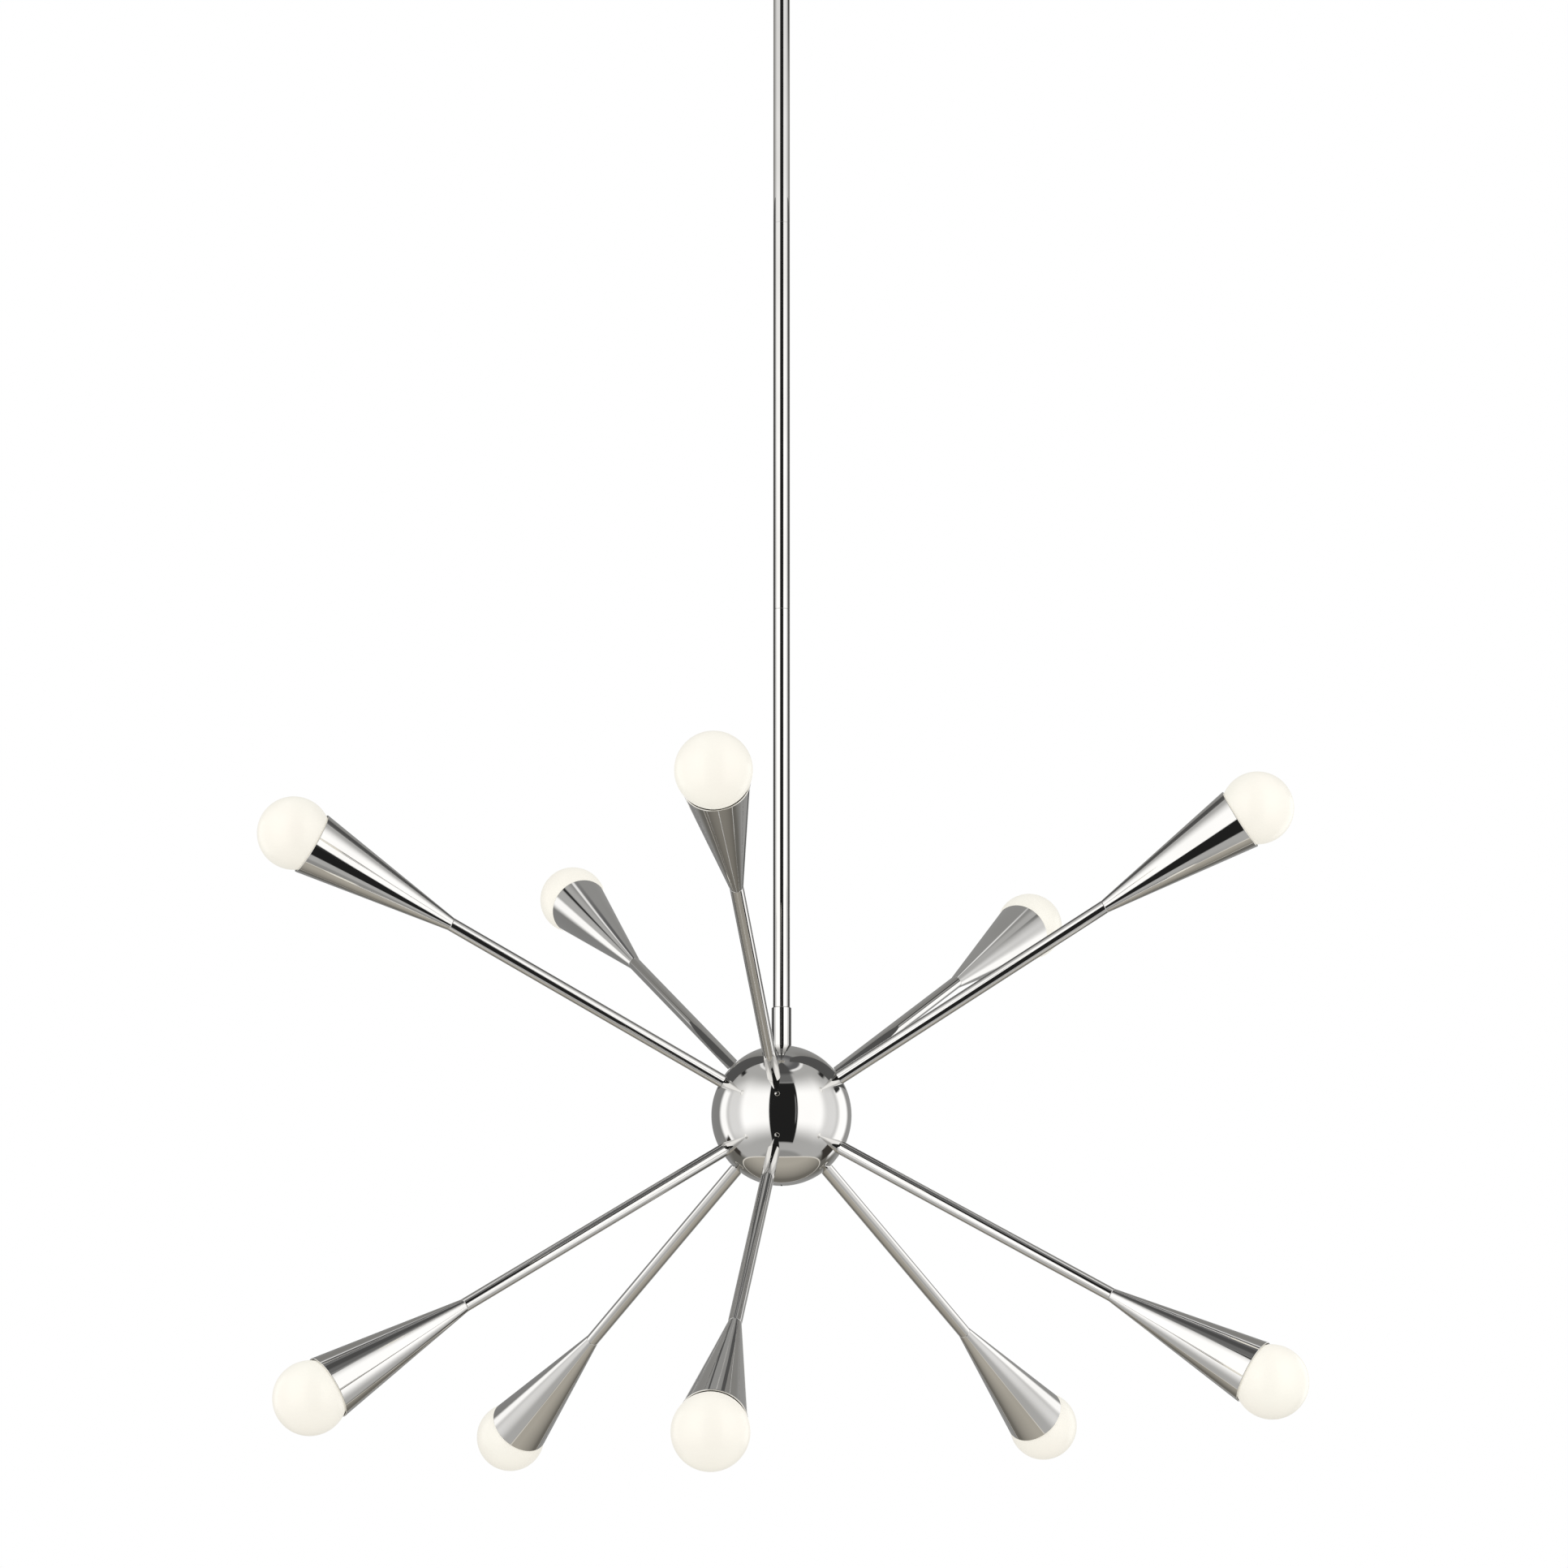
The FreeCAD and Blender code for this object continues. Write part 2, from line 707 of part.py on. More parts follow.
# Collar: stands on the ball and takes the stem from above and the tie rod from below.
collar_top_face = ball_radius + size("collar_height")
collar_shoulder = collar_top_face - size("collar_rounding")
collar_flat = collar_radius - size("collar_rounding")
collar = sub_part("collar", at_ball)
turn(
    collar,
    [
        (thread_hole_radius, other_leg(collar_seat, thread_hole_radius)),
        Arc(collar_radius, other_leg(collar_seat, collar_radius), (ZERO, ZERO), -1),
        (collar_radius, collar_shoulder),
        Arc(collar_flat, collar_top_face, (collar_flat, collar_shoulder), 1),
        (thread_hole_radius, collar_top_face),
    ],
)

# The arms by name: upper ones rise and lower ones droop, and each list starts at the front.
sides = ("front", "right", "back_right", "back_left", "left")
upper_arms = [f"upper_{side}" for side in sides]
lower_arms = [f"lower_{side}" for side in sides]


def arm_rotation(name):
    """The rotation that lays a piece's upright axis along an arm."""
    return aimed(size(f"{name}_bearing"), size(f"{name}_lift"))


arm_thread_radius = size("arm_thread_diameter") / 2
arm_hole_radius = arm_thread_radius + size("thread_gap")

# Upper shell: its lip reaches down inside the lower shell.
lip_radius = shell_radius + size("lip_thickness")
ball_upper = sub_part("ball_upper", at_ball)
turn(
    ball_upper,
    [
        Arc(thread_hole_radius, other_leg(shell_radius, thread_hole_radius), (ZERO, ZERO), 1),
        (thread_hole_radius, other_leg(ball_radius, thread_hole_radius)),
        Arc(ball_radius, ZERO, (ZERO, ZERO), -1),
        (lip_radius, ZERO),
        (lip_radius, -size("lip_depth")),
        (shell_radius, -size("lip_depth")),
        (shell_radius, ZERO),
    ],
)

# Lower shell: a step for the lip, and a thick seat with a recess for the closing screw.
closing_radius = size("closing_screw_diameter") / 2
closing_hole = closing_radius + size("thread_gap")
closing_head = size("closing_head_diameter") / 2
recess_radius = closing_head + size("thread_gap")
recess_floor = size("closing_head_height") - ball_radius
seat_top = recess_floor + size("closing_seat")
seat_radius = recess_radius + size("closing_seat_width")
step_radius = lip_radius + size("thread_gap")
step_floor = -size("lip_depth") - size("thread_gap")
ball_lower = sub_part("ball_lower", at_ball)
turn(
    ball_lower,
    [
        (recess_radius, -other_leg(ball_radius, recess_radius)),
        Arc(ball_radius, ZERO, (ZERO, ZERO), 1),
        (step_radius, ZERO),
        (step_radius, step_floor),
        (other_leg(shell_radius, step_floor), step_floor),
        Arc(seat_radius, -other_leg(shell_radius, seat_radius), (ZERO, ZERO), -1),
        (seat_radius, seat_top),
        (closing_hole, seat_top),
        (closing_hole, recess_floor),
        (recess_radius, recess_floor),
    ],
)

for shell, arms in ((ball_upper, upper_arms), (ball_lower, lower_arms)):
    for name in arms:
        drill(shell, arm_hole_radius, size("ball_diameter"), arm_rotation(name))

# Tie rod: from the collar down to the lower shell, with a window that lets the leads out to the arms.
rod_top = ball_radius + size("tie_rod_overlap")
tie_rod = sub_part("tie_rod", at_ball)
turn(
    tie_rod,
    [(closing_hole, seat_top), (thread_radius, seat_top), (thread_radius, rod_top), (closing_hole, rod_top)],
)
window_half = size("tie_rod_window_width") / 2
window_end = size("tie_rod_window") / 2
cut(
    tie_rod,
    "YZ_Plane",
    [window(-window_half, window_half, -window_end, window_end)],
    size("thread_diameter") * 2,
)

# Locknut: holds the upper shell up against the collar.
hub_nut_top = other_leg(shell_radius, size("locknut_across") / root(as_size(3)))
hub_locknut = sub_part("hub_locknut", at_ball)
nut(
    hub_locknut,
    size("locknut_across"),
    thread_hole_radius,
    size("locknut_height"),
    hub_nut_top - size("locknut_height") / 2,
)

# Closing screw: its head carries on the ball's curve, with a driver slot across it.
closing_screw = sub_part("closing_screw", at_ball)
turn(
    closing_screw,
    [
        (ZERO, -ball_radius),
        Arc(closing_head, -other_leg(ball_radius, closing_head), (ZERO, ZERO), 1),
        (closing_head, recess_floor),
        (closing_radius, recess_floor),
        (closing_radius, recess_floor + size("closing_screw_length")),
        (ZERO, recess_floor + size("closing_screw_length")),
    ],
)
closing_slot_half = size("closing_slot_width") / 2
closing_slot_top = recess_floor - size("closing_head_height") / 2
cut(
    closing_screw,
    "XZ_Plane",
    [window(-closing_slot_half, closing_slot_half, -size("ball_diameter"), closing_slot_top)],
    size("closing_head_diameter") * 2,
)

# ---------------------------------------------------------------- arms

# Every height below is a distance along the arm from the ball's centre.
arm_radius = size("arm_diameter") / 2
tube_bore = arm_radius - size("arm_wall")
arm_bore = size("arm_thread_bore") / 2
nut_corner = size("arm_nut_across") / root(as_size(3))
nut_seat = other_leg(shell_radius, nut_corner)
arm_start = nut_seat - size("arm_nut_height") - size("arm_thread_spare")
arm_shoulder = other_leg(ball_radius, arm_hole_radius)
arm_end = size("arm_reach")
rim = arm_end + size("cone_length")
globe_centre = rim + size("bulb_stand_out")
globe_radius = size("bulb_diameter") / 2
cap_tip = globe_centre + globe_radius - size("bulb_length")
cap_top = cap_tip + size("cap_length")
socket_floor = cap_tip - size("thread_gap")
grip_end = socket_floor - size("socket_floor")
socket_start = grip_end - size("socket_grip")
arm_tip = grip_end - size("clear_gap")


def make_arm(body):
    """A tube whose reduced, threaded ends go into the ball and through the cone into the socket."""
    turn(
        body,
        [
            (arm_bore, arm_start),
            (arm_thread_radius, arm_start),
            (arm_thread_radius, arm_shoulder),
            (arm_radius, arm_shoulder),
            (arm_radius, arm_end),
            (arm_thread_radius, arm_end),
            (arm_thread_radius, arm_tip),
            (arm_bore, arm_tip),
            (arm_bore, arm_end - size("arm_plug_length")),
            (tube_bore, arm_end - size("arm_plug_length")),
            (tube_bore, arm_shoulder + size("arm_plug_length")),
            (arm_bore, arm_shoulder + size("arm_plug_length")),
        ],
    )


def make_cone(body):
    """A spun cone, flush with the arm at its small end and just clear of the globe at its rim."""
    wall = size("cone_wall")
    rim_inside = other_leg(globe_radius + size("bulb_gap"), size("bulb_stand_out"))
    rim_outside = rim_inside + wall
    widening = (rim_outside - arm_radius) / size("cone_length")
    floor = arm_end + size("cone_base")
    turn(
        body,
        [
            (arm_hole_radius, arm_end),
            (arm_radius, arm_end),
            (rim_outside, rim),
            (rim_inside, rim),
            (arm_radius + widening * size("cone_base") - wall, floor),
            (arm_hole_radius, floor),
        ],
    )


def make_socket(body):
    """A candelabra lamp holder on the tip of the arm, its cup open towards the bulb."""
    foot_radius = size("socket_base_diameter") / 2
    body_radius = size("socket_diameter") / 2
    cup_radius = size("cap_diameter") / 2 + size("clear_gap")
    foot_top = socket_start + size("socket_base_height")
    turn(
        body,
        [
            (arm_hole_radius, socket_start),
            (foot_radius, socket_start),
            (foot_radius, foot_top),
            (body_radius, foot_top),
            (body_radius, cap_top),
            (cup_radius, cap_top),
            (cup_radius, socket_floor),
            (ZERO, socket_floor),
            (ZERO, grip_end),
            (arm_hole_radius, grip_end),
        ],
    )


cap_radius = size("cap_diameter") / 2
cap_inside = cap_radius - size("cap_wall")


def make_bulb(body):
    """The hollow opal globe, its neck glued into the screw cap."""
    glass = size("bulb_glass")
    neck_radius = cap_inside - size("thread_gap")
    neck_start = cap_tip + size("cap_length") / 2
    neck_end = cap_top + size("clear_gap")
    flare_radius = size("bulb_neck_diameter") / 2
    flare_height = globe_centre - other_leg(globe_radius, flare_radius)
    inner_radius = globe_radius - glass
    inner_flare = flare_radius - glass
    turn(
        body,
        [
            (neck_radius, neck_start),
            (neck_radius, neck_end),
            (flare_radius, flare_height),
            Arc(ZERO, globe_centre + globe_radius, (ZERO, globe_centre), 1),
            (ZERO, globe_centre + inner_radius),
            Arc(inner_flare, globe_centre - other_leg(inner_radius, inner_flare), (ZERO, globe_centre), -1),
            (neck_radius - glass, neck_end),
            (neck_radius - glass, neck_start),
        ],
    )


makers = (("arm", make_arm), ("cone", make_cone), ("socket", make_socket), ("bulb", make_bulb))
arm_places = []
for name in upper_arms + lower_arms:
    arm_place = f"placement(vector(0; 0; {ball_height.text}); {arm_rotation(name)})"
    arm_places.append(arm_place)
    for kind, make in makers:
        make(sub_part(f"{kind}_{name}", arm_place))

# Arm nuts: pull each arm's shoulder against the ball from inside.
arm_nut_master = new_body("arm_nut_master")
nut(
    arm_nut_master,
    size("arm_nut_across"),
    arm_hole_radius,
    size("arm_nut_height"),
    nut_seat - size("arm_nut_height") / 2,
)
group("arm_nuts", arm_nut_master, arm_places)

# Bulb caps: the screw shell with its end contact.
contact_radius = size("cap_contact_diameter") / 2
contact_top = cap_tip + size("cap_contact_height")
cap_shoulder = contact_top + (cap_radius - contact_radius) / 2
cap_floor = cap_shoulder + size("cap_wall")
cap_master = new_body("cap_master")
turn(
    cap_master,
    [
        (ZERO, cap_tip),
        (contact_radius, cap_tip),
        (contact_radius, contact_top),
        (cap_radius, cap_shoulder),
        (cap_radius, cap_top),
        (cap_inside, cap_top),
        (cap_inside, cap_floor),
        (ZERO, cap_floor),
    ],
)
group("bulb_caps", cap_master, arm_places)

# ---------------------------------------------------------------- check and write

doc.recompute()
faults = [thing.Label for thing in doc.Objects if {"Invalid", "Error"} & set(thing.State)]
for body, feature in cuts:
    if feature.Shape.Volume >= feature.BaseFeature.Shape.Volume:
        faults.append(f"{feature.Label} cuts nothing")
for node in nodes:
    if node.Shape.isNull() or not node.Shape.isValid():
        faults.append(f"{node.Label} has no valid shape")
if faults:
    raise RuntimeError("; ".join(faults))

for node in nodes:
    node.Shape.exportStep(f"parts/{node.Label}.step")
solids = sum(len(node.Shape.Solids) for node in nodes)
print(f"{len(nodes)} nodes, {solids} solids, ball centre {ball_height.value:.2f} mm")
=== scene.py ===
import json
import math

import bpy
from mathutils import Matrix, Vector

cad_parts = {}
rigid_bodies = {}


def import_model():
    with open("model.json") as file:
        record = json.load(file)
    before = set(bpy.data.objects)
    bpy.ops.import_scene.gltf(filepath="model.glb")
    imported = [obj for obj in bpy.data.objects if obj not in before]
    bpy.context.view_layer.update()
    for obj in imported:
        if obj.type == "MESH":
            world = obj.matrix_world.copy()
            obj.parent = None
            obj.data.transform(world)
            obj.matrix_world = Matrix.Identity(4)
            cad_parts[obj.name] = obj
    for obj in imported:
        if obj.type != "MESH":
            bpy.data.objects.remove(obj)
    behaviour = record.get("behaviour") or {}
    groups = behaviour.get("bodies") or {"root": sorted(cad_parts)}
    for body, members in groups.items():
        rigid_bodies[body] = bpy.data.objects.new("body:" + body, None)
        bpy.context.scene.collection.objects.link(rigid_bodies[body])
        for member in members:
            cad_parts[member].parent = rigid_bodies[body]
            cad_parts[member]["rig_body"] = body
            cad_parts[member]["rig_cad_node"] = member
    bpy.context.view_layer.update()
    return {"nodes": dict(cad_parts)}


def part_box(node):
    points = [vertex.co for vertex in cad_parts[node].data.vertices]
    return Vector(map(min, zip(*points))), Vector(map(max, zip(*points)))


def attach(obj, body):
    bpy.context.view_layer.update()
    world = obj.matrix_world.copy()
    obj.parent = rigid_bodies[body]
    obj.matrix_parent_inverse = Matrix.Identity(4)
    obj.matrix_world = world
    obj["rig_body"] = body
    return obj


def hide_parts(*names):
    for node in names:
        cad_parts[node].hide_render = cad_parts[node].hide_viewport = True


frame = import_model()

# Sizes in the dictionaries are millimetres and degrees, and everything that is built is in metres.
mm = 0.001
nodes = frame["nodes"]
print("frame loaded:", len(nodes), "nodes")


# ways of working

def selectOnly(*pieces):
    bpy.ops.object.select_all(action="DESELECT")
    for piece in pieces:
        piece.select_set(True)
    bpy.context.view_layer.objects.active = pieces[-1]


def applyModifier(piece, kind, **settings):
    selectOnly(piece)
    modifier = piece.modifiers.new(kind.title(), kind)
    for key, value in settings.items():
        setattr(modifier, key, value)
    bpy.ops.object.modifier_apply(modifier=modifier.name)


def smoothSurface(piece, angle=38):
    # smooth across gentle turns, crisp at the corners, large faces win over small ones
    selectOnly(piece)
    bpy.ops.object.shade_smooth_by_angle(angle=math.radians(angle))
    applyModifier(piece, "WEIGHTED_NORMAL", keep_sharp=True)


cornerSteps = 4


def roundedOutline(corners):
    # a corner is (radius, height) or (radius, height, how far back its rounding starts)
    points = []
    for index, corner in enumerate(corners):
        here = Vector(corner[:2])
        if len(corner) == 2:
            points.append(here)
            continue
        before = Vector(corners[index - 1][:2])
        after = Vector(corners[(index + 1) % len(corners)][:2])
        start = here + (before - here).normalized() * corner[2]
        end = here + (after - here).normalized() * corner[2]
        for step in range(cornerSteps + 1):
            t = step / cornerSteps
            points.append(start * (1 - t) ** 2 + here * 2 * t * (1 - t) + end * t ** 2)
    return points


def arcPoints(centre, radius, start, end, steps):
    # along a circle round (0, centre), angles in degrees up from level
    angles = [math.radians(start + (end - start) * step / steps) for step in range(steps + 1)]
    return [(radius * math.cos(angle), centre + radius * math.sin(angle)) for angle in angles]


def threadPoints(radius, start, end, pitch, depth):
    # the crests and roots of a thread, cut as rings
    turns = int(abs(end - start) / pitch)
    step = (end - start) / turns
    points = []
    for turn in range(turns):
        points.append((radius - depth, start + step * turn))
        points.append((radius, start + step * (turn + 0.5)))
    points.append((radius - depth, end))
    return points


def turned(name, corners, sides=96):
    # a closed outline drawn point by point from one vertex and spun about the upright axis
    outline = [Vector((point[0], 0, point[1])) * mm for point in roundedOutline(corners)]
    bpy.ops.object.select_all(action="DESELECT")
    bpy.ops.mesh.primitive_plane_add(size=mm)
    piece = bpy.context.object
    piece.name = name
    piece.data.name = name
    bpy.ops.object.mode_set(mode="EDIT")
    bpy.ops.mesh.select_all(action="SELECT")
    bpy.ops.mesh.merge(type="CENTER")
    bpy.ops.transform.translate(value=outline[0])
    for before, after in zip(outline, outline[1:] + outline[:1]):
        bpy.ops.mesh.extrude_region_move(TRANSFORM_OT_translate={"value": after - before})
    bpy.ops.mesh.select_all(action="SELECT")
    bpy.ops.mesh.remove_doubles(threshold=0.002 * mm)
    bpy.ops.mesh.spin(steps=sides, angle=math.tau, center=(0, 0, 0), axis=(0, 0, 1))
    bpy.ops.mesh.select_all(action="SELECT")
    bpy.ops.mesh.remove_doubles(threshold=0.002 * mm)
    bpy.ops.mesh.normals_make_consistent(inside=False)
    bpy.ops.object.mode_set(mode="OBJECT")
    return piece


def placed(piece, matrix):
    selectOnly(piece)
    piece.matrix_world = matrix
    bpy.ops.object.transform_apply(location=True, rotation=True, scale=True)
    return piece


def copied(piece, name):
    twin = piece.copy()
    twin.data = piece.data.copy()
    twin.name = name
    twin.data.name = name
    bpy.context.scene.collection.objects.link(twin)
    return twin


def joined(name, pieces):
    selectOnly(*pieces)
    bpy.ops.object.join()
    whole = bpy.context.object
    whole.name = name
    whole.data.name = name
    return whole


def cutAway(piece, cutter):
    applyModifier(piece, "BOOLEAN", operation="DIFFERENCE", object=cutter, solver="EXACT")
    bpy.data.objects.remove(cutter)


def rodAlong(direction, radius, near, far):
    # a plain rod from one distance to another along a direction, to cut a hole with
    bpy.ops.object.select_all(action="DESELECT")
    bpy.ops.mesh.primitive_cylinder_add(vertices=96, radius=radius * mm, depth=(far - near) * mm)
    rod = bpy.context.object
    turn = direction.to_track_quat("Z", "Y").to_matrix().to_4x4()
    return placed(rod, turn @ Matrix.Translation((0, 0, (near + far) / 2 * mm)))


def slotAcross(piece, width, length, depth, height):
    # a straight screwdriver slot, half of its blade above and half below the given height
    bpy.ops.object.select_all(action="DESELECT")
    bpy.ops.mesh.primitive_cube_add(size=1)
    blade = bpy.context.object
    blade.scale = (width * mm, length * mm, depth * mm)
    cutAway(piece, placed(blade, Matrix.Translation((0, 0, height * mm)) @ blade.matrix_basis))


def smoothedNode(nodeName, pieceName, edge):
    # a merged copy of a CAD node with its edges broken
    piece = copied(nodes[nodeName], pieceName)
    piece.parent = None
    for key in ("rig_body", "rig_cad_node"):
        del piece[key]
    selectOnly(piece)
    bpy.ops.object.mode_set(mode="EDIT")
    bpy.ops.mesh.select_all(action="SELECT")
    bpy.ops.mesh.remove_doubles(threshold=0.01 * mm)
    bpy.ops.mesh.dissolve_limited(angle_limit=math.radians(1))
    bpy.ops.object.mode_set(mode="OBJECT")
    applyModifier(piece, "BEVEL", width=edge * mm, segments=2, limit_method="ANGLE",
                  angle_limit=math.radians(50))
    smoothSurface(piece)
    return piece


def dress(piece, material, slot, body, *replaced):
    piece.data.materials.clear()
    piece.data.materials.append(material)
    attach(piece, body)
    if replaced:
        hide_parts(*replaced)


# finishes

def newMaterial(name):
    material = bpy.data.materials.new(name)
    material.use_nodes = True
    tree = material.node_tree
    shader = tree.nodes["Principled BSDF"]
    return material, tree, shader


def noiseOf(tree, scale, detail=3, stretch=None):
    place = tree.nodes.new("ShaderNodeTexCoord")
    noise = tree.nodes.new("ShaderNodeTexNoise")
    noise.inputs["Scale"].default_value = scale
    noise.inputs["Detail"].default_value = detail
    if stretch:
        mapping = tree.nodes.new("ShaderNodeMapping")
        mapping.inputs["Scale"].default_value = stretch
        tree.links.new(place.outputs["Object"], mapping.inputs["Vector"])
        tree.links.new(mapping.outputs["Vector"], noise.inputs["Vector"])
    else:
        tree.links.new(place.outputs["Object"], noise.inputs["Vector"])
    return noise.outputs["Fac"]


def rangeOf(tree, source, low, high, fromLow=0.3, fromHigh=0.7):
    spread = tree.nodes.new("ShaderNodeMapRange")
    spread.inputs["From Min"].default_value = fromLow
    spread.inputs["From Max"].default_value = fromHigh
    spread.inputs["To Min"].default_value = low
    spread.inputs["To Max"].default_value = high
    tree.links.new(source, spread.inputs["Value"])
    return spread.outputs["Result"]


def colourBetween(tree, source, first, second):
    mix = tree.nodes.new("ShaderNodeMix")
    mix.data_type = "RGBA"
    mix.inputs["A"].default_value = (*first, 1)
    mix.inputs["B"].default_value = (*second, 1)
    tree.links.new(source, mix.inputs["Factor"])
    return mix.outputs["Result"]


def bumpFrom(tree, shader, source, height):
    bump = tree.nodes.new("ShaderNodeBump")
    bump.inputs["Distance"].default_value = height
    tree.links.new(source, bump.inputs["Height"])
    tree.links.new(bump.outputs["Normal"], shader.inputs["Normal"])


nickelFinish = {
    "bright": (0.80, 0.79, 0.775), "deep": (0.74, 0.73, 0.71),
    "tintScale": 14, "smudgeScale": 45, "roughLow": 0.02, "roughHigh": 0.045,
    "lineScale": 260, "lineHeight": 0.00000012,
}


def makeNickel():
    # polished nickel plate: a mirror with faint smudges and the finest polishing grain
    material, tree, shader = newMaterial("polishedNickel")
    shader.inputs["Metallic"].default_value = 1
    tint = rangeOf(tree, noiseOf(tree, nickelFinish["tintScale"]), 0, 1)
    colour = colourBetween(tree, tint, nickelFinish["bright"], nickelFinish["deep"])
    tree.links.new(colour, shader.inputs["Base Color"])
    smudges = noiseOf(tree, nickelFinish["smudgeScale"], 5)
    rough = rangeOf(tree, smudges, nickelFinish["roughLow"], nickelFinish["roughHigh"])
    tree.links.new(rough, shader.inputs["Roughness"])
    bumpFrom(tree, shader, noiseOf(tree, nickelFinish["lineScale"], 2), nickelFinish["lineHeight"])
    return material


opalFinish = {
    "cream": (0.87, 0.855, 0.785), "blush": (0.875, 0.835, 0.77), "cloudScale": 22,
    "glow": (1.0, 0.97, 0.87), "glowLow": 0.385, "glowHigh": 0.42,
    "roughness": 0.3, "dustScale": 500, "dustHeight": 0.000001,
}


def makeOpal():
    # opal glass, satin outside, faintly lit from within
    material, tree, shader = newMaterial("opalGlass")
    clouds = rangeOf(tree, noiseOf(tree, opalFinish["cloudScale"], 2), 0, 1)
    colour = colourBetween(tree, clouds, opalFinish["cream"], opalFinish["blush"])
    tree.links.new(colour, shader.inputs["Base Color"])
    shader.inputs["Roughness"].default_value = opalFinish["roughness"]
    shader.inputs["IOR"].default_value = 1.5
    shader.inputs["Emission Color"].default_value = (*opalFinish["glow"], 1)
    glow = rangeOf(tree, noiseOf(tree, opalFinish["cloudScale"] * 0.8, 1),
                   opalFinish["glowLow"], opalFinish["glowHigh"])
    tree.links.new(glow, shader.inputs["Emission Strength"])
    bumpFrom(tree, shader, noiseOf(tree, opalFinish["dustScale"], 3), opalFinish["dustHeight"])
    return material


zincFinish = {
    "pale": (0.66, 0.68, 0.70), "dull": (0.50, 0.51, 0.52), "spangle": 90,
    "roughLow": 0.28, "roughHigh": 0.45, "grain": (40, 900, 900), "grainHeight": 0.00001,
}


def makeZinc():
    # zinc plated steel with drawn grain
    material, tree, shader = newMaterial("zincSteel")
    shader.inputs["Metallic"].default_value = 1
    spangle = rangeOf(tree, noiseOf(tree, zincFinish["spangle"], 4), 0, 1)
    tree.links.new(colourBetween(tree, spangle, zincFinish["pale"], zincFinish["dull"]),
                   shader.inputs["Base Color"])
    grain = noiseOf(tree, 1, 2, zincFinish["grain"])
    tree.links.new(rangeOf(tree, grain, zincFinish["roughLow"], zincFinish["roughHigh"]),
                   shader.inputs["Roughness"])
    bumpFrom(tree, shader, grain, zincFinish["grainHeight"])
    return material


phenolicFinish = {
    "black": (0.025, 0.024, 0.023), "brown": (0.055, 0.045, 0.038), "mottle": 160,
    "roughLow": 0.38, "roughHigh": 0.55, "mouldHeight": 0.00002,
}


def makePhenolic():
    # moulded phenolic of the lamp holders
    material, tree, shader = newMaterial("socketPhenolic")
    mottle = noiseOf(tree, phenolicFinish["mottle"], 4)
    shade = rangeOf(tree, mottle, 0, 1)
    tree.links.new(colourBetween(tree, shade, phenolicFinish["black"], phenolicFinish["brown"]),
                   shader.inputs["Base Color"])
    tree.links.new(rangeOf(tree, mottle, phenolicFinish["roughLow"], phenolicFinish["roughHigh"]),
                   shader.inputs["Roughness"])
    bumpFrom(tree, shader, mottle, phenolicFinish["mouldHeight"])
    return material


capFinish = {
    "bright": (0.82, 0.82, 0.83), "dull": (0.62, 0.62, 0.63), "wear": 300, "roughLow": 0.2, "roughHigh": 0.38,
}


def makeCapMetal():
    # thin drawn sheet of the bulb caps
    material, tree, shader = newMaterial("capMetal")
    shader.inputs["Metallic"].default_value = 1
    wear = noiseOf(tree, capFinish["wear"], 4)
    tree.links.new(colourBetween(tree, rangeOf(tree, wear, 0, 1), capFinish["bright"], capFinish["dull"]),
                   shader.inputs["Base Color"])
    tree.links.new(rangeOf(tree, wear, capFinish["roughLow"], capFinish["roughHigh"]),
                   shader.inputs["Roughness"])
    return material


greenFinish = {"bright": (0.05, 0.34, 0.13), "dark": (0.03, 0.22, 0.08), "wear": 400, "roughness": 0.35}


def makeGreen():
    # green dyed ground screw
    material, tree, shader = newMaterial("groundGreen")
    shader.inputs["Metallic"].default_value = 0.6
    shader.inputs["Roughness"].default_value = greenFinish["roughness"]
    wear = rangeOf(tree, noiseOf(tree, greenFinish["wear"], 4), 0, 1)
    tree.links.new(colourBetween(tree, wear, greenFinish["bright"], greenFinish["dark"]),
                   shader.inputs["Base Color"])
    return material


nickel = makeNickel()
opal = makeOpal()
zinc = makeZinc()
phenolic = makePhenolic()
capMetal = makeCapMetal()
green = makeGreen()
print("finishes ready")


# ceiling mount

canopySizes = {
    "diameter": 127, "depth": 25, "wall": 1, "corner": 8, "hole": 5.1, "bead": 0.45,
    "studOffset": 26, "studHole": 2.4, "drillPast": 4,
}


def makeCanopy():
    s = canopySizes
    radius = s["diameter"] / 2
    inside = radius - s["wall"]
    cornerAcross = radius - s["corner"]
    cornerHeight = s["corner"] - s["depth"]
    outer = [(cornerAcross + x, z) for x, z in arcPoints(cornerHeight, s["corner"], 0, -90, 14)]
    inner = [(cornerAcross + x, z) for x, z in arcPoints(cornerHeight, s["corner"] - s["wall"], -90, 0, 14)]
    outline = [(radius, 0, s["bead"])] + outer
    outline += [(s["hole"], -s["depth"], 0.2), (s["hole"], s["wall"] - s["depth"], 0.2)]
    outline += inner + [(inside, 0, s["bead"])]
    canopy = turned("canopyCup", outline, 160)
    down = Vector((0, 0, -1))
    for side in (-1, 1):
        rod = rodAlong(down, s["studHole"], s["depth"] - s["drillPast"], s["depth"] + s["drillPast"])
        cutAway(canopy, placed(rod, Matrix.Translation((side * s["studOffset"] * mm, 0, 0))))
    smoothSurface(canopy)
    dress(canopy, nickel, "polished_nickel", "ceiling_mount", "canopy")


studSizes = {"radius": 2.1, "length": 32, "pitch": 0.8, "depth": 0.35}
nutSizes = {"radius": 4.75, "height": 10, "hole": 2.15, "holeFloor": 32.3, "groove": 0.35, "seat": 1.6}


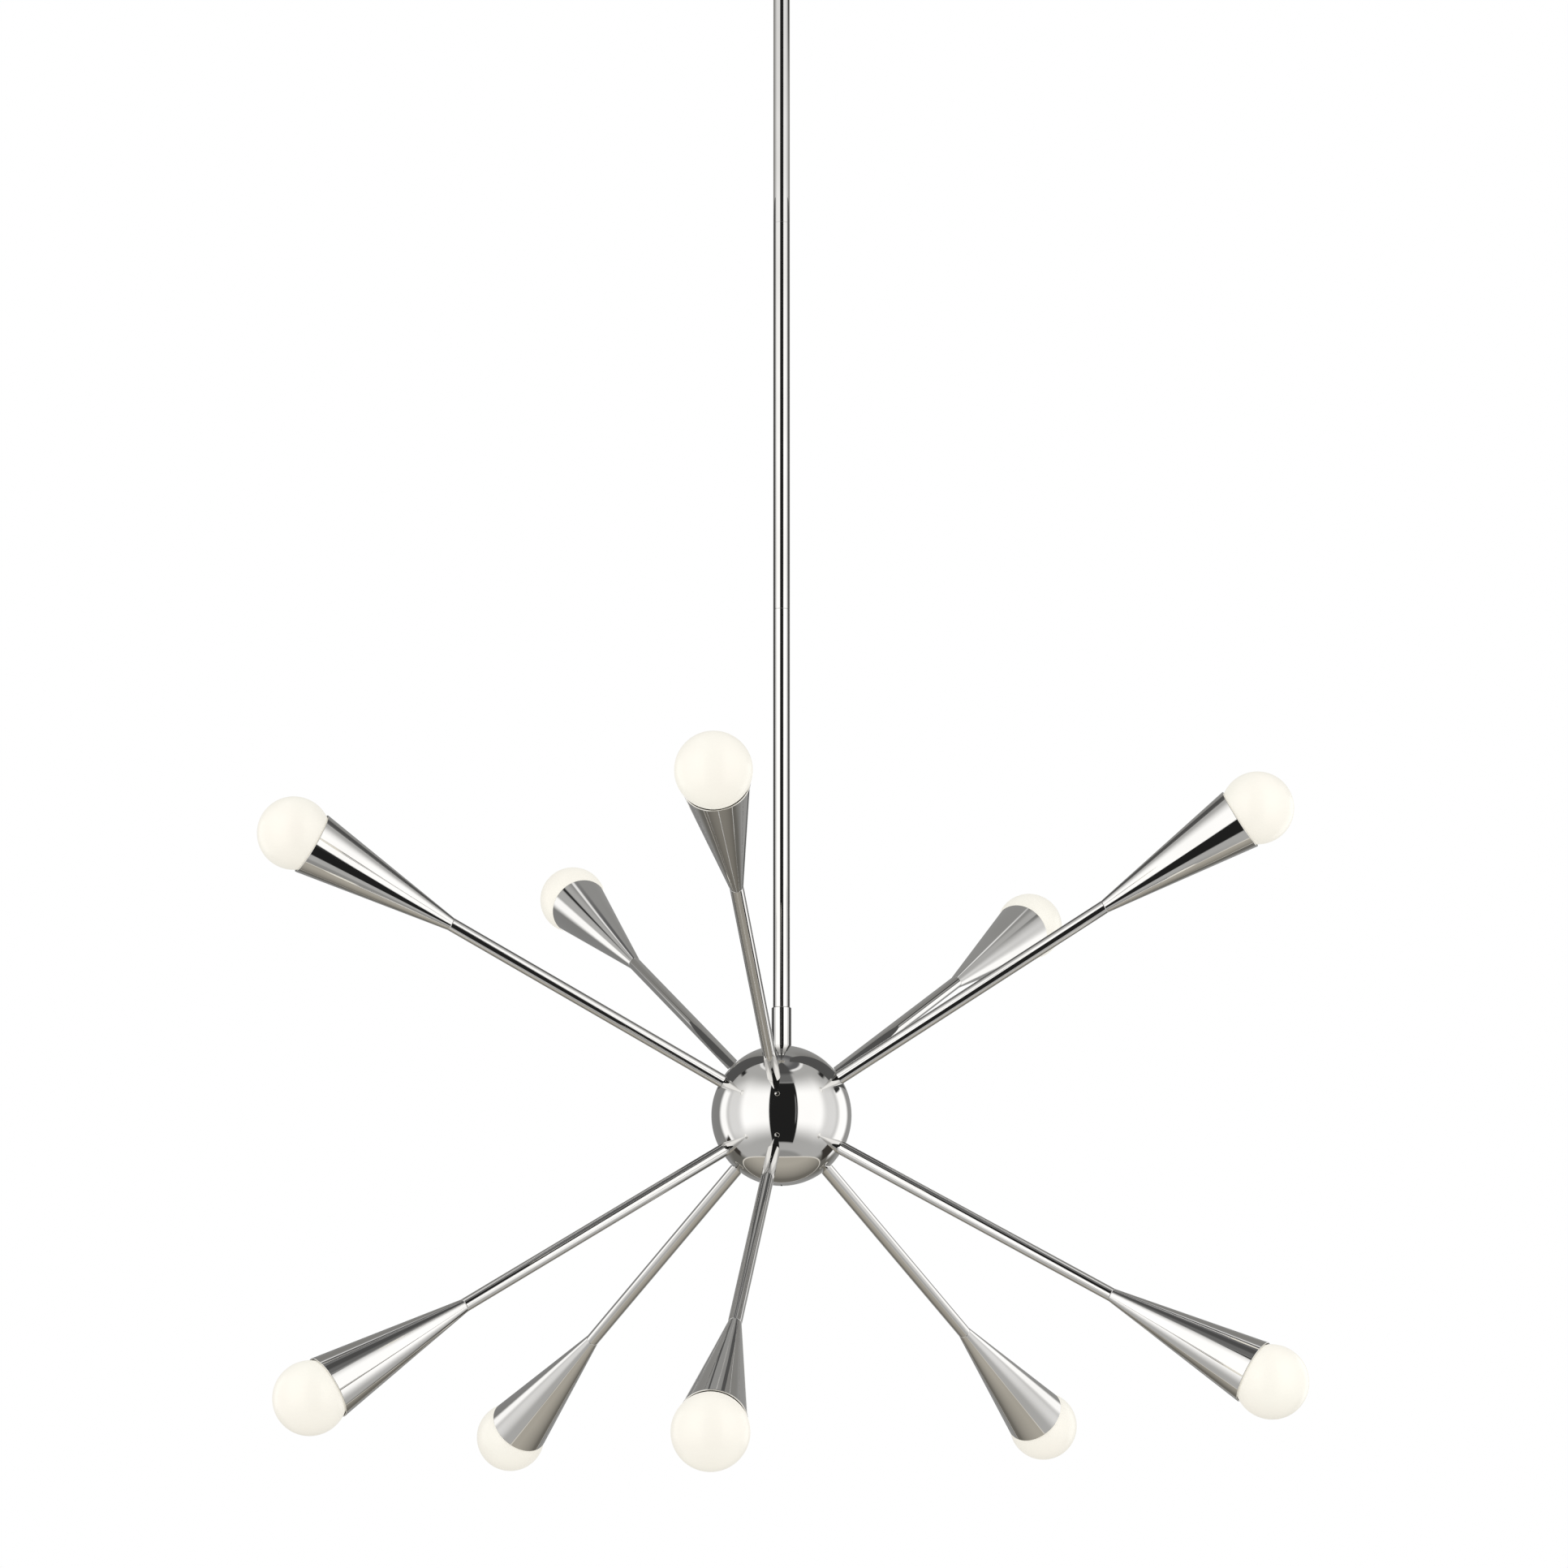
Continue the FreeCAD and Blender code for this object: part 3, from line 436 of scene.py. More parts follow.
def makeStuds():
    s = studSizes
    thread = threadPoints(s["radius"], 0, -s["length"], s["pitch"], s["depth"])
    outline = [(0, 0)] + thread + [(0, -s["length"])]
    stud = turned("studRight", outline, 32)
    twin = copied(stud, "studLeft")
    offset = canopySizes["studOffset"] * mm
    placed(stud, Matrix.Translation((offset, 0, 0)))
    placed(twin, Matrix.Translation((-offset, 0, 0)))
    studs = joined("canopyStudRods", [stud, twin])
    smoothSurface(studs)
    dress(studs, zinc, "zinc_steel", "ceiling_mount", "canopy_studs")


def makeCapNuts():
    s = nutSizes
    top = -canopySizes["depth"]
    bottom = top - s["height"]
    dome = arcPoints(bottom + s["radius"], s["radius"], 0, -90, 16)
    outline = [
        (s["hole"], top), (s["radius"], top, 0.3),
        (s["radius"], top - s["seat"]), (s["radius"] - s["groove"], top - s["seat"] - s["groove"]),
        (s["radius"], top - s["seat"] - 2 * s["groove"]),
    ]
    outline += dome + [(0, -s["holeFloor"]), (s["hole"], -s["holeFloor"])]
    nut = turned("capNutRight", outline, 64)
    twin = copied(nut, "capNutLeft")
    offset = canopySizes["studOffset"] * mm
    placed(nut, Matrix.Translation((offset, 0, 0)))
    placed(twin, Matrix.Translation((-offset, 0, 0)))
    nuts = joined("domedCapNuts", [nut, twin])
    smoothSurface(nuts)
    dress(nuts, nickel, "polished_nickel", "ceiling_mount", "cap_nuts")


groundSizes = {
    "radius": 2, "headRadius": 4, "headTop": -2, "headHeight": 2, "offset": 14, "slot": 0.9, "slotLength": 12,
    "slotDepth": 0.8,
}


def makeGroundScrew():
    s = groundSizes
    bottom = s["headTop"] - s["headHeight"]
    outline = [(0, 0), (s["radius"], 0, 0.2), (s["radius"], s["headTop"]), (s["headRadius"], s["headTop"]),
               (s["headRadius"], bottom, 0.6), (0, bottom)]
    screw = turned("groundScrewHead", outline, 48)
    slotAcross(screw, s["slot"], s["slotLength"], 2 * s["slotDepth"], bottom)
    placed(screw, Matrix.Translation((s["offset"] * mm, 0, 0)))
    smoothSurface(screw)
    dress(screw, green, "ground_green", "ceiling_mount", "ground_screw")


makeCanopy()
makeStuds()
makeCapNuts()
makeGroundScrew()
dress(smoothedNode("crossbar", "crossbarStrap", 0.25), zinc, "zinc_steel", "ceiling_mount", "crossbar")
print("ceiling mount ready")


# swivel

for nodeName, pieceName, body, edge in (
    ("swivel_fork", "swivelFork", "swivel", 0.3),
    ("swivel_pin", "swivelPin", "swivel", 0.15),
    ("swivel_tang", "swivelTang", "hanging", 0.3),
):
    dress(smoothedNode(nodeName, pieceName, edge), nickel, "polished_nickel", body, nodeName)
print("swivel ready")


# stem

stemSizes = {
    "radius": 6.35, "length": 304.8, "edge": 0.3, "threadRadius": 5, "threadLength": 11, "pitch": 1.0,
    "threadDepth": 0.5, "bore": 3.2, "threadHole": 5.05, "plug": 12,
}


def makeStemPiece(nodeName, pieceName):
    s = stemSizes
    thread = threadPoints(s["threadRadius"], -s["threadLength"], 0, s["pitch"], s["threadDepth"])
    outline = [(s["bore"], -s["threadLength"])] + thread + [
        (s["radius"], 0, s["edge"]), (s["radius"], s["length"], s["edge"]),
        (s["threadHole"], s["length"], 0.2), (s["threadHole"], s["plug"]), (s["bore"], s["plug"]),
    ]
    stem = turned(pieceName, outline, 96)
    placed(stem, Matrix.Translation((0, 0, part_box(nodeName)[1].z - s["length"] * mm)))
    smoothSurface(stem)
    dress(stem, nickel, "polished_nickel", "hanging", nodeName)


makeStemPiece("stem_upper", "stemTubeUpper")
makeStemPiece("stem_middle", "stemTubeMiddle")
makeStemPiece("stem_lower", "stemTubeLower")
print("stem ready")


# ball

ballSizes = {
    "radius": 52.5, "wall": 1.6, "topHole": 5.05, "armHole": 4.05, "lipDepth": 2.5, "lipThickness": 0.75,
    "lipGap": 0.05, "closingHole": 3.05, "recessRadius": 6.05, "seatRadius": 8.05,
    "headHeight": 1.8, "seatHeight": 2.2, "drillFrom": 44, "drillTo": 60,
}
collarSizes = {"radius": 7.45, "height": 28.5, "rounding": 0.8, "hole": 5.05, "seatGap": 0.05}
closingSizes = {
    "headRadius": 6, "screwRadius": 3, "length": 14, "slot": 1.2, "slotLength": 20, "slotDepth": 0.9,
    "pitch": 1, "depth": 0.5,
}

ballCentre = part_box("ball_lower")[1].z
atBall = Matrix.Translation((0, 0, ballCentre))

# bearings go round from the front (-Y) towards +X, lifts go up from level
armAngles = {
    "upper_front": (-7, 27), "upper_right": (73.5, 30.5), "upper_back_right": (147.5, 27),
    "upper_back_left": (208, 30.5), "upper_left": (289.5, 27),
    "lower_front": (-8, -36.5), "lower_right": (71.5, -29), "lower_back_right": (145, -30.5),
    "lower_back_left": (217, -32), "lower_left": (292.5, -31),
}


def armDirection(name):
    bearing, lift = (math.radians(angle) for angle in armAngles[name])
    return Vector((math.cos(lift) * math.sin(bearing), -math.cos(lift) * math.cos(bearing), math.sin(lift)))


def angleAt(radius, across):
    # how far up a sphere, in degrees, a circle of that radius lies
    return math.degrees(math.acos(across / radius))


def angleOf(radius, height):
    return math.degrees(math.asin(height / radius))


def drillForArms(shell, level):
    for name in armAngles:
        if name.startswith(level):
            drill = rodAlong(armDirection(name), ballSizes["armHole"],
                             ballSizes["drillFrom"], ballSizes["drillTo"])
            cutAway(shell, drill)


def makeUpperShell():
    s = ballSizes
    inside = s["radius"] - s["wall"]
    lip = inside + s["lipThickness"]
    outline = arcPoints(0, s["radius"], angleAt(s["radius"], s["topHole"]), 0, 72)
    outline += [(lip, 0), (lip, -s["lipDepth"], 0.2), (inside, -s["lipDepth"], 0.2), (inside, 0)]
    outline += arcPoints(0, inside, 1, angleAt(inside, s["topHole"]), 40)
    shell = turned("ballShellUpper", outline, 192)
    drillForArms(shell, "upper")
    placed(shell, atBall)
    smoothSurface(shell, 30)
    dress(shell, nickel, "polished_nickel", "hanging", "ball_upper")


def makeLowerShell():
    s = ballSizes
    inside = s["radius"] - s["wall"]
    step = inside + s["lipThickness"] + s["lipGap"]
    stepFloor = -s["lipDepth"] - s["lipGap"]
    recessFloor = s["headHeight"] - s["radius"]
    seatTop = recessFloor + s["seatHeight"]
    outline = arcPoints(0, s["radius"], -angleAt(s["radius"], s["recessRadius"]), 0, 72)
    outline += [(step, 0), (step, stepFloor)]
    outline += arcPoints(0, inside, angleOf(inside, stepFloor), -angleAt(inside, s["seatRadius"]), 40)
    outline += [(s["seatRadius"], seatTop, 0.3), (s["closingHole"], seatTop), (s["closingHole"], recessFloor),
                (s["recessRadius"], recessFloor)]
    shell = turned("ballShellLower", outline, 192)
    drillForArms(shell, "lower")
    placed(shell, atBall)
    smoothSurface(shell, 30)
    dress(shell, nickel, "polished_nickel", "hanging", "ball_lower")


def makeCollar():
    s = collarSizes
    seat = ballSizes["radius"] + s["seatGap"]
    top = ballSizes["radius"] + s["height"]
    outline = arcPoints(0, seat, angleAt(seat, s["hole"]), angleAt(seat, s["radius"]), 4)
    outline += [(s["radius"], top, s["rounding"]), (s["hole"], top, 0.2)]
    collar = turned("stemCollar", outline, 96)
    placed(collar, atBall)
    smoothSurface(collar)
    dress(collar, nickel, "polished_nickel", "hanging", "collar")


def makeClosingScrew():
    s = closingSizes
    radius = ballSizes["radius"]
    floor = ballSizes["headHeight"] - radius
    outline = arcPoints(0, radius, -90, -angleAt(radius, s["headRadius"]), 8)
    outline[-1] = (*outline[-1], 0.25)
    outline += [(s["headRadius"], floor)]
    outline += threadPoints(s["screwRadius"], floor, floor + s["length"], s["pitch"], s["depth"])
    outline += [(0, floor + s["length"])]
    screw = turned("ballClosingScrew", outline, 64)
    slotAcross(screw, s["slot"], s["slotLength"], 2 * s["slotDepth"], -radius)
    placed(screw, atBall)
    smoothSurface(screw)
    dress(screw, nickel, "polished_nickel", "hanging", "closing_screw")


makeUpperShell()
makeLowerShell()
makeCollar()
makeClosingScrew()
print("ball ready")


# arms, each with its cone, lamp holder, bulb and bulb cap, heights along the arm from the ball's centre

armSizes = {
    "radius": 5, "wall": 1, "threadRadius": 4, "bore": 2.9, "start": 44, "shoulder": 52.343, "reach": 288.5,
    "plug": 8, "tip": 349.35, "pitch": 0.8, "depth": 0.35,
}
coneSizes = {
    "length": 118.5, "wall": 0.9, "base": 10, "smallEdge": 0.35, "rimEdge": 0.4, "threadHole": 4.05,
}
bulbSizes = {
    "radius": 26.7, "standOut": 15, "gap": 0.6, "glass": 1, "neckRadius": 9, "length": 76,
    "capLength": 17, "capRadius": 5.95, "capWall": 0.4, "contactRadius": 2.2, "contactHeight": 0.8,
    "thread": 0.35, "pitch": 2.54,
}
socketSizes = {
    "radius": 9.25, "footRadius": 7, "footHeight": 8, "floor": 8, "grip": 10, "cupGap": 0.3, "ribDepth": 0.4,
    "ribPitch": 3.2,
}

rim = armSizes["reach"] + coneSizes["length"]
globeCentre = rim + bulbSizes["standOut"]
capTip = globeCentre + bulbSizes["radius"] - bulbSizes["length"]
capTop = capTip + bulbSizes["capLength"]
socketFloor = capTip - 0.05
gripEnd = socketFloor - socketSizes["floor"]


def armOutline():
    s = armSizes
    tubeBore = s["radius"] - s["wall"]
    outline = [(s["bore"], s["start"])]
    outline += threadPoints(s["threadRadius"], s["start"], s["shoulder"], s["pitch"], s["depth"])
    outline += [(s["radius"], s["shoulder"]), (s["radius"], s["reach"], coneSizes["smallEdge"])]
    outline += threadPoints(s["threadRadius"], s["reach"], s["tip"], s["pitch"], s["depth"])
    outline += [
        (s["bore"], s["tip"]), (s["bore"], s["reach"] - s["plug"]), (tubeBore, s["reach"] - s["plug"]),
        (tubeBore, s["shoulder"] + s["plug"]), (s["bore"], s["shoulder"] + s["plug"]),
    ]
    return outline


def coneOutline():
    s = coneSizes
    start = armSizes["reach"]
    small = armSizes["radius"]
    rimInside = math.sqrt((bulbSizes["radius"] + bulbSizes["gap"]) ** 2 - bulbSizes["standOut"] ** 2)
    rimOutside = rimInside + s["wall"]
    widening = (rimOutside - small) / s["length"]
    return [
        (s["threadHole"], start), (small, start, s["smallEdge"]), (rimOutside, rim, s["rimEdge"]),
        (rimInside, rim, s["rimEdge"]), (small + widening * s["base"] - s["wall"], start + s["base"]),
        (s["threadHole"], start + s["base"]),
    ]


def bulbOutline():
    s = bulbSizes
    neck = s["capRadius"] - s["capWall"] - 0.05
    neckStart = capTip + s["capLength"] / 2
    neckEnd = capTop + 0.3
    inside = s["radius"] - s["glass"]
    insideNeck = s["neckRadius"] - s["glass"]
    outline = [(neck, neckStart), (neck, neckEnd, 2)]
    outline += arcPoints(globeCentre, s["radius"], -angleAt(s["radius"], s["neckRadius"]), 90, 72)
    outline += arcPoints(globeCentre, inside, 90, -angleAt(inside, insideNeck), 36)
    outline += [(neck - s["glass"], neckEnd, 2), (neck - s["glass"], neckStart)]
    return outline


def capOutline():
    s = bulbSizes
    inside = s["capRadius"] - s["capWall"]
    contactTop = capTip + s["contactHeight"]
    shoulder = contactTop + (s["capRadius"] - s["contactRadius"]) / 2
    threadEnd = capTop - 2
    outline = [(0, capTip), (s["contactRadius"], capTip, 0.4), (s["contactRadius"], contactTop),
               (s["capRadius"] - s["thread"], shoulder)]
    turns = int((threadEnd - shoulder) / s["pitch"])
    for step in range(turns * 8 + 1):
        depth = s["thread"] * (1 + math.cos(math.tau * step / 8)) / 2
        outline.append((s["capRadius"] - depth, shoulder + s["pitch"] * (step / 8) + 0.1))
    outline += [(s["capRadius"], capTop), (inside, capTop), (inside, threadEnd)]
    outline += [(inside - s["thread"], threadEnd - 1)]
    outline += [(inside - s["thread"], shoulder + s["capWall"]), (0, shoulder + s["capWall"])]
    return outline


def socketOutline():
    s = socketSizes
    start = gripEnd - s["grip"]
    footTop = start + s["footHeight"]
    cup = bulbSizes["capRadius"] + s["cupGap"]
    outline = [(armSizes["threadRadius"] + 0.05, start), (s["footRadius"], start, 0.5),
               (s["footRadius"], footTop), (s["radius"], footTop, 0.6)]
    for rib in range(1, 9):
        height = footTop + s["ribPitch"] * rib
        outline += [(s["radius"], height - 0.7), (s["radius"] - s["ribDepth"], height - 0.35),
                    (s["radius"] - s["ribDepth"], height + 0.35), (s["radius"], height + 0.7)]
    outline += [(s["radius"], capTop, 0.6), (cup, capTop, 0.4), (cup, socketFloor), (0, socketFloor),
                (0, gripEnd), (armSizes["threadRadius"] + 0.05, gripEnd)]
    return outline


# what each arm carries: outline, sides round, smoothing angle, then finish and record slot
shapes = {
    "arm": ("armTube", armOutline, 72, 38),
    "cone": ("armCone", coneOutline, 144, 38),
    "socket": ("lampHolder", socketOutline, 64, 38),
    "bulb": ("opalBulb", bulbOutline, 128, 50),
}
finishes = {
    "arm": (nickel, "polished_nickel"), "cone": (nickel, "polished_nickel"),
    "socket": (phenolic, "socket_phenolic"), "bulb": (opal, "opal_glass"),
}


def makeArms():
    # each kind is modelled once, upright, and copied to every arm
    caps = []
    capMaster = turned("bulbCapMaster", capOutline(), 48)
    smoothSurface(capMaster, 50)
    masters = {}
    for kind, (title, outlineOf, sides, angle) in shapes.items():
        masters[kind] = turned(title + "Master", outlineOf(), sides)
        smoothSurface(masters[kind], angle)
    for name in armAngles:
        turn = armDirection(name).to_track_quat("Z", "Y").to_matrix().to_4x4()
        for kind, (material, slot) in finishes.items():
            piece = placed(copied(masters[kind], f"{shapes[kind][0]}.{name}"), atBall @ turn)
            dress(piece, material, slot, "hanging", f"{kind}_{name}")
        caps.append(placed(copied(capMaster, f"bulbCap.{name}"), atBall @ turn))
    whole = joined("bulbCapShells", caps)
    dress(whole, capMetal, "cap_metal", "hanging", "bulb_caps")
    for master in [capMaster, *masters.values()]:
        bpy.data.objects.remove(master)


makeArms()
print("arms ready")

# the hidden nuts and the tie rod keep their own shape
for nodeName in ("arm_nuts", "hub_locknut", "swivel_locknut", "tie_rod"):
    nodes[nodeName].data.materials.clear()
    nodes[nodeName].data.materials.append(zinc)


# stage: floor, light tent, lamps, white surroundings and the camera

# from here on in metres
stage = {
    "floorHeight": -3.40, "floorSize": 40, "floorPale": (0.90, 0.885, 0.86), "floorDark": (0.87, 0.855, 0.83),
    "floorClouds": 1.3, "floorRoughness": 0.9,
    "tentRadius": 1.75, "tentCentre": -0.65, "tentSegments": 120, "tentRings": 80,
    "openingHalf": 0.42, "openingAboveBall": 0.25,
    "flagAcross": 0.11, "flagDepth": 0.14, "flagTop": -0.30, "flagBottom": -0.985,
    "flagLight": (0.10, 0.10, 0.10),
    "worldLight": 0.55, "lampPower": 10, "lampSize": 1.6, "lampSideways": 2.2, "lampPlace": (-2.2, -0.4),
}

# A layer of the tent, seen from the ball: its bearings and lifts in degrees, its colour, and how soft its
# sides and its ends are. Bearings go from the front towards the right, and later layers cover earlier ones.
tentLayers = (
    ("surroundings", (-180, 180), (-90, 90), (0.33, 0.33, 0.325), 1, 1),
    ("wallLeft", (-180, -122), (-14, 24), (0.27, 0.27, 0.268), 1, 6),
    ("wallRight", (128, 180), (-14, 24), (0.34, 0.34, 0.335), 8, 6),
    ("lowDark", (-162, 162), (-56, -20), (0.16, 0.155, 0.14), 12, 9),
    ("highDark", (-160, 160), (27, 62), (0.27, 0.266, 0.256), 12, 5),
    ("panels", (-112, 112), (-64, 70), (0.50, 0.50, 0.495), 8, 3),
    ("roofEdge", (-134, 134), (67, 70.5), (1.0, 1.0, 1.0), 6, 1.0),
    ("cap", (-181, 181), (71, 91), (0.14, 0.14, 0.145), 1, 1.5),
    ("capMiddle", (-181, 181), (80, 91), (0.30, 0.30, 0.30), 1, 5),
    ("lightLeft", (-80, 0), (-29, 41), (1.32, 1.32, 1.32), 17, 17),
    ("lightRight", (0, 80), (-29, 43), (1.32, 1.32, 1.32), 17, 17),
    ("betweenLeft", (-98, -70), (-28, 34), (0.88, 0.88, 0.88), 9, 12),
    ("betweenRight", (76, 104), (-28, 34), (0.88, 0.88, 0.88), 9, 12),
    ("stripLeft", (-118, -100), (-30, 26), (1.28, 1.28, 1.28), 5, 3),
    ("stripRight", (107, 135), (-30, 26), (1.28, 1.28, 1.28), 6, 3),
    ("clampLeftHigh", (-119, -98), (45, 51), (0.03, 0.03, 0.03), 3, 2),
    ("clampLeftLow", (-119, -107), (-40, -18), (0.05, 0.045, 0.04), 2, 2),
    ("clampRightHigh", (99, 126), (42, 49), (0.03, 0.03, 0.03), 3, 2),
    ("clampRightMid", (110, 130), (23, 28), (0.04, 0.04, 0.04), 2, 1),
    ("clampRightLow", (104, 129), (-40, -24), (0.05, 0.045, 0.04), 2, 2),
    ("frontRoof", (-22, 27), (47, 66), (0.17, 0.17, 0.17), 5, 3),
    ("frontCap", (-30, 34), (63, 91), (0.09, 0.09, 0.09), 9, 3),
    ("cameraGap", (-20, 26.5), (-50, 47), (0.018, 0.018, 0.018), 1.2, 2),
    ("gapLine", (22.2, 24.2), (-16, 24), (0.22, 0.22, 0.22), 0.6, 6),
)
# a round beige cloth painted on the tent's foot, with a light hem, darker towards the back
cloth = {
    "centreY": 0.9, "radius": 1.19, "hem": 0.05, "soft": 0.02, "drop": 1.357, "leastDown": 0.02,
    "beige": (0.49, 0.462, 0.405), "hemPale": (0.80, 0.77, 0.71),
    "shadeFrom": 0.1, "shadeTo": 1.3, "shadeLeft": 0.36,
}


def mathNode(tree, operation, first, second=None):
    node = tree.nodes.new("ShaderNodeMath")
    node.operation = operation
    for socket, value in zip(node.inputs, (first, second)):
        if isinstance(value, (int, float)):
            socket.default_value = value
        elif value is not None:
            tree.links.new(value, socket)
    return node.outputs[0]


def softStep(tree, source, edge, softness):
    step = tree.nodes.new("ShaderNodeMapRange")
    step.interpolation_type = "SMOOTHSTEP"
    step.inputs["From Min"].default_value = edge - softness
    step.inputs["From Max"].default_value = edge + softness
    tree.links.new(source, step.inputs["Value"])
    return step.outputs["Result"]


def painted(tree, under, paint, cover, label):
    # a colour laid over what is there, as far as cover says
    mix = tree.nodes.new("ShaderNodeMix")
    mix.data_type = "RGBA"
    mix.label = label
    for socket, value in (("A", paint if under is None else under), ("B", paint), ("Factor", cover)):
        if isinstance(value, tuple):
            mix.inputs[socket].default_value = (*value, 1)
        else:
            tree.links.new(value, mix.inputs[socket])
    return mix.outputs["Result"]


def glowingMaterial(name):
    material = bpy.data.materials.new(name)
    material.use_nodes = True
    tree = material.node_tree
    tree.nodes.remove(tree.nodes["Principled BSDF"])
    light = tree.nodes.new("ShaderNodeEmission")
    tree.links.new(light.outputs[0], tree.nodes["Material Output"].inputs["Surface"])
    return material, light


def makeTent():
    # what polished metal mirrors: two lit panels beside a dark gap, lit strips further round, a dark cap,
    # a cloth below, and an opening behind on the white surroundings
    bpy.ops.object.select_all(action="DESELECT")
    bpy.ops.mesh.primitive_uv_sphere_add(segments=stage["tentSegments"], ring_count=stage["tentRings"],
                                         radius=stage["tentRadius"], location=(0, 0, stage["tentCentre"]))
    tent = bpy.context.object
    tent.name = "lightTent"
    bpy.ops.object.transform_apply(location=True, rotation=True, scale=True)
    bpy.ops.object.mode_set(mode="EDIT")
    bpy.ops.mesh.select_all(action="DESELECT")
    bpy.ops.object.mode_set(mode="OBJECT")
    openingHeight = ballCentre + stage["openingAboveBall"]
    for face in tent.data.polygons:
        x, y, z = face.center
        face.select = y > 0 and abs(x) < stage["openingHalf"] and abs(z - openingHeight) < stage["openingHalf"]
    bpy.ops.object.mode_set(mode="EDIT")
    bpy.ops.mesh.delete(type="FACE")
    bpy.ops.object.mode_set(mode="OBJECT")

    material, light = glowingMaterial("tentCloth")
    tree = material.node_tree
    place = tree.nodes.new("ShaderNodeTexCoord")
    fromBall = tree.nodes.new("ShaderNodeVectorMath")
    fromBall.operation = "SUBTRACT"
    fromBall.inputs[1].default_value = (0, 0, ballCentre)
    tree.links.new(place.outputs["Object"], fromBall.inputs[0])
    direction = tree.nodes.new("ShaderNodeVectorMath")
    direction.operation = "NORMALIZE"
    tree.links.new(fromBall.outputs[0], direction.inputs[0])
    parts = tree.nodes.new("ShaderNodeSeparateXYZ")
    tree.links.new(direction.outputs[0], parts.inputs[0])
    toCamera = mathNode(tree, "MULTIPLY", parts.outputs["Y"], -1)
    bearing = mathNode(tree, "DEGREES", mathNode(tree, "ARCTAN2", parts.outputs["X"], toCamera))
    lift = mathNode(tree, "DEGREES", mathNode(tree, "ARCSINE", parts.outputs["Z"]))
    colour = None
    for name, bearings, lifts, paint, softSides, softEnds in tentLayers:
        inside = mathNode(tree, "SUBTRACT", softStep(tree, bearing, bearings[0], softSides),
                          softStep(tree, bearing, bearings[1], softSides))
        level = mathNode(tree, "SUBTRACT", softStep(tree, lift, lifts[0], softEnds),
                         softStep(tree, lift, lifts[1], softEnds))
        colour = painted(tree, colour, paint, mathNode(tree, "MULTIPLY", inside, level), name)
    down = mathNode(tree, "MAXIMUM", mathNode(tree, "MULTIPLY", parts.outputs["Z"], -1), cloth["leastDown"])
    reach = mathNode(tree, "DIVIDE", cloth["drop"], down)
    across = mathNode(tree, "MULTIPLY", parts.outputs["X"], reach)
    backwards = mathNode(tree, "MULTIPLY", parts.outputs["Y"], reach)
    fromMiddle = mathNode(tree, "SUBTRACT", backwards, cloth["centreY"])
    far = mathNode(tree, "SQRT", mathNode(tree, "ADD", mathNode(tree, "MULTIPLY", across, across),
                                          mathNode(tree, "MULTIPLY", fromMiddle, fromMiddle)))
    onHem = mathNode(tree, "SUBTRACT", 1, softStep(tree, far, cloth["radius"] + cloth["hem"], cloth["soft"]))
    onCloth = mathNode(tree, "SUBTRACT", 1, softStep(tree, far, cloth["radius"], cloth["soft"]))
    colour = painted(tree, colour, cloth["hemPale"], onHem, "clothHem")
    shade = rangeOf(tree, backwards, 1, cloth["shadeLeft"], cloth["shadeFrom"], cloth["shadeTo"])
    beige = tree.nodes.new("ShaderNodeVectorMath")
    beige.operation = "SCALE"
    beige.inputs[0].default_value = cloth["beige"]
    tree.links.new(shade, beige.inputs["Scale"])
    colour = painted(tree, colour, beige.outputs[0], onCloth, "cloth")
    tree.links.new(colour, light.inputs["Color"])
    tent.data.materials.append(material)
    mirroredOnly(tent)


def mirroredOnly(card):
    # seen in reflections and nowhere else
    card.visible_camera = False
    card.visible_diffuse = False
    card.visible_shadow = False


def makeFlags():
    # two dark cards close beside the lower stem, which keep its edges dark
    material, light = glowingMaterial("flagCloth")
    light.inputs["Color"].default_value = (*stage["flagLight"], 1)
    height = stage["flagTop"] - stage["flagBottom"]
    middle = (stage["flagTop"] + stage["flagBottom"]) / 2
    for name, side in (("flagLeft", -1), ("flagRight", 1)):
        bpy.ops.object.select_all(action="DESELECT")
        bpy.ops.mesh.primitive_plane_add(size=1)
        flag = bpy.context.object
        flag.name = name
        flag.scale = (height, stage["flagDepth"], 1)
        place = Matrix.Translation((side * stage["flagAcross"], stage["flagDepth"] / 2, middle))
        placed(flag, place @ Matrix.Rotation(math.radians(90), 4, "Y") @ flag.matrix_basis)
        flag.data.materials.append(material)
        mirroredOnly(flag)


def makeFloor():
    bpy.ops.object.select_all(action="DESELECT")
    bpy.ops.mesh.primitive_plane_add(size=stage["floorSize"], location=(0, 0, stage["floorHeight"]))
    floor = bpy.context.object
    floor.name = "paleFloor"
    material, tree, shader = newMaterial("paleFloor")
    clouds = rangeOf(tree, noiseOf(tree, stage["floorClouds"]), 0, 1)
    colour = colourBetween(tree, clouds, stage["floorPale"], stage["floorDark"])
    tree.links.new(colour, shader.inputs["Base Color"])
    shader.inputs["Roughness"].default_value = stage["floorRoughness"]
    floor.data.materials.append(material)


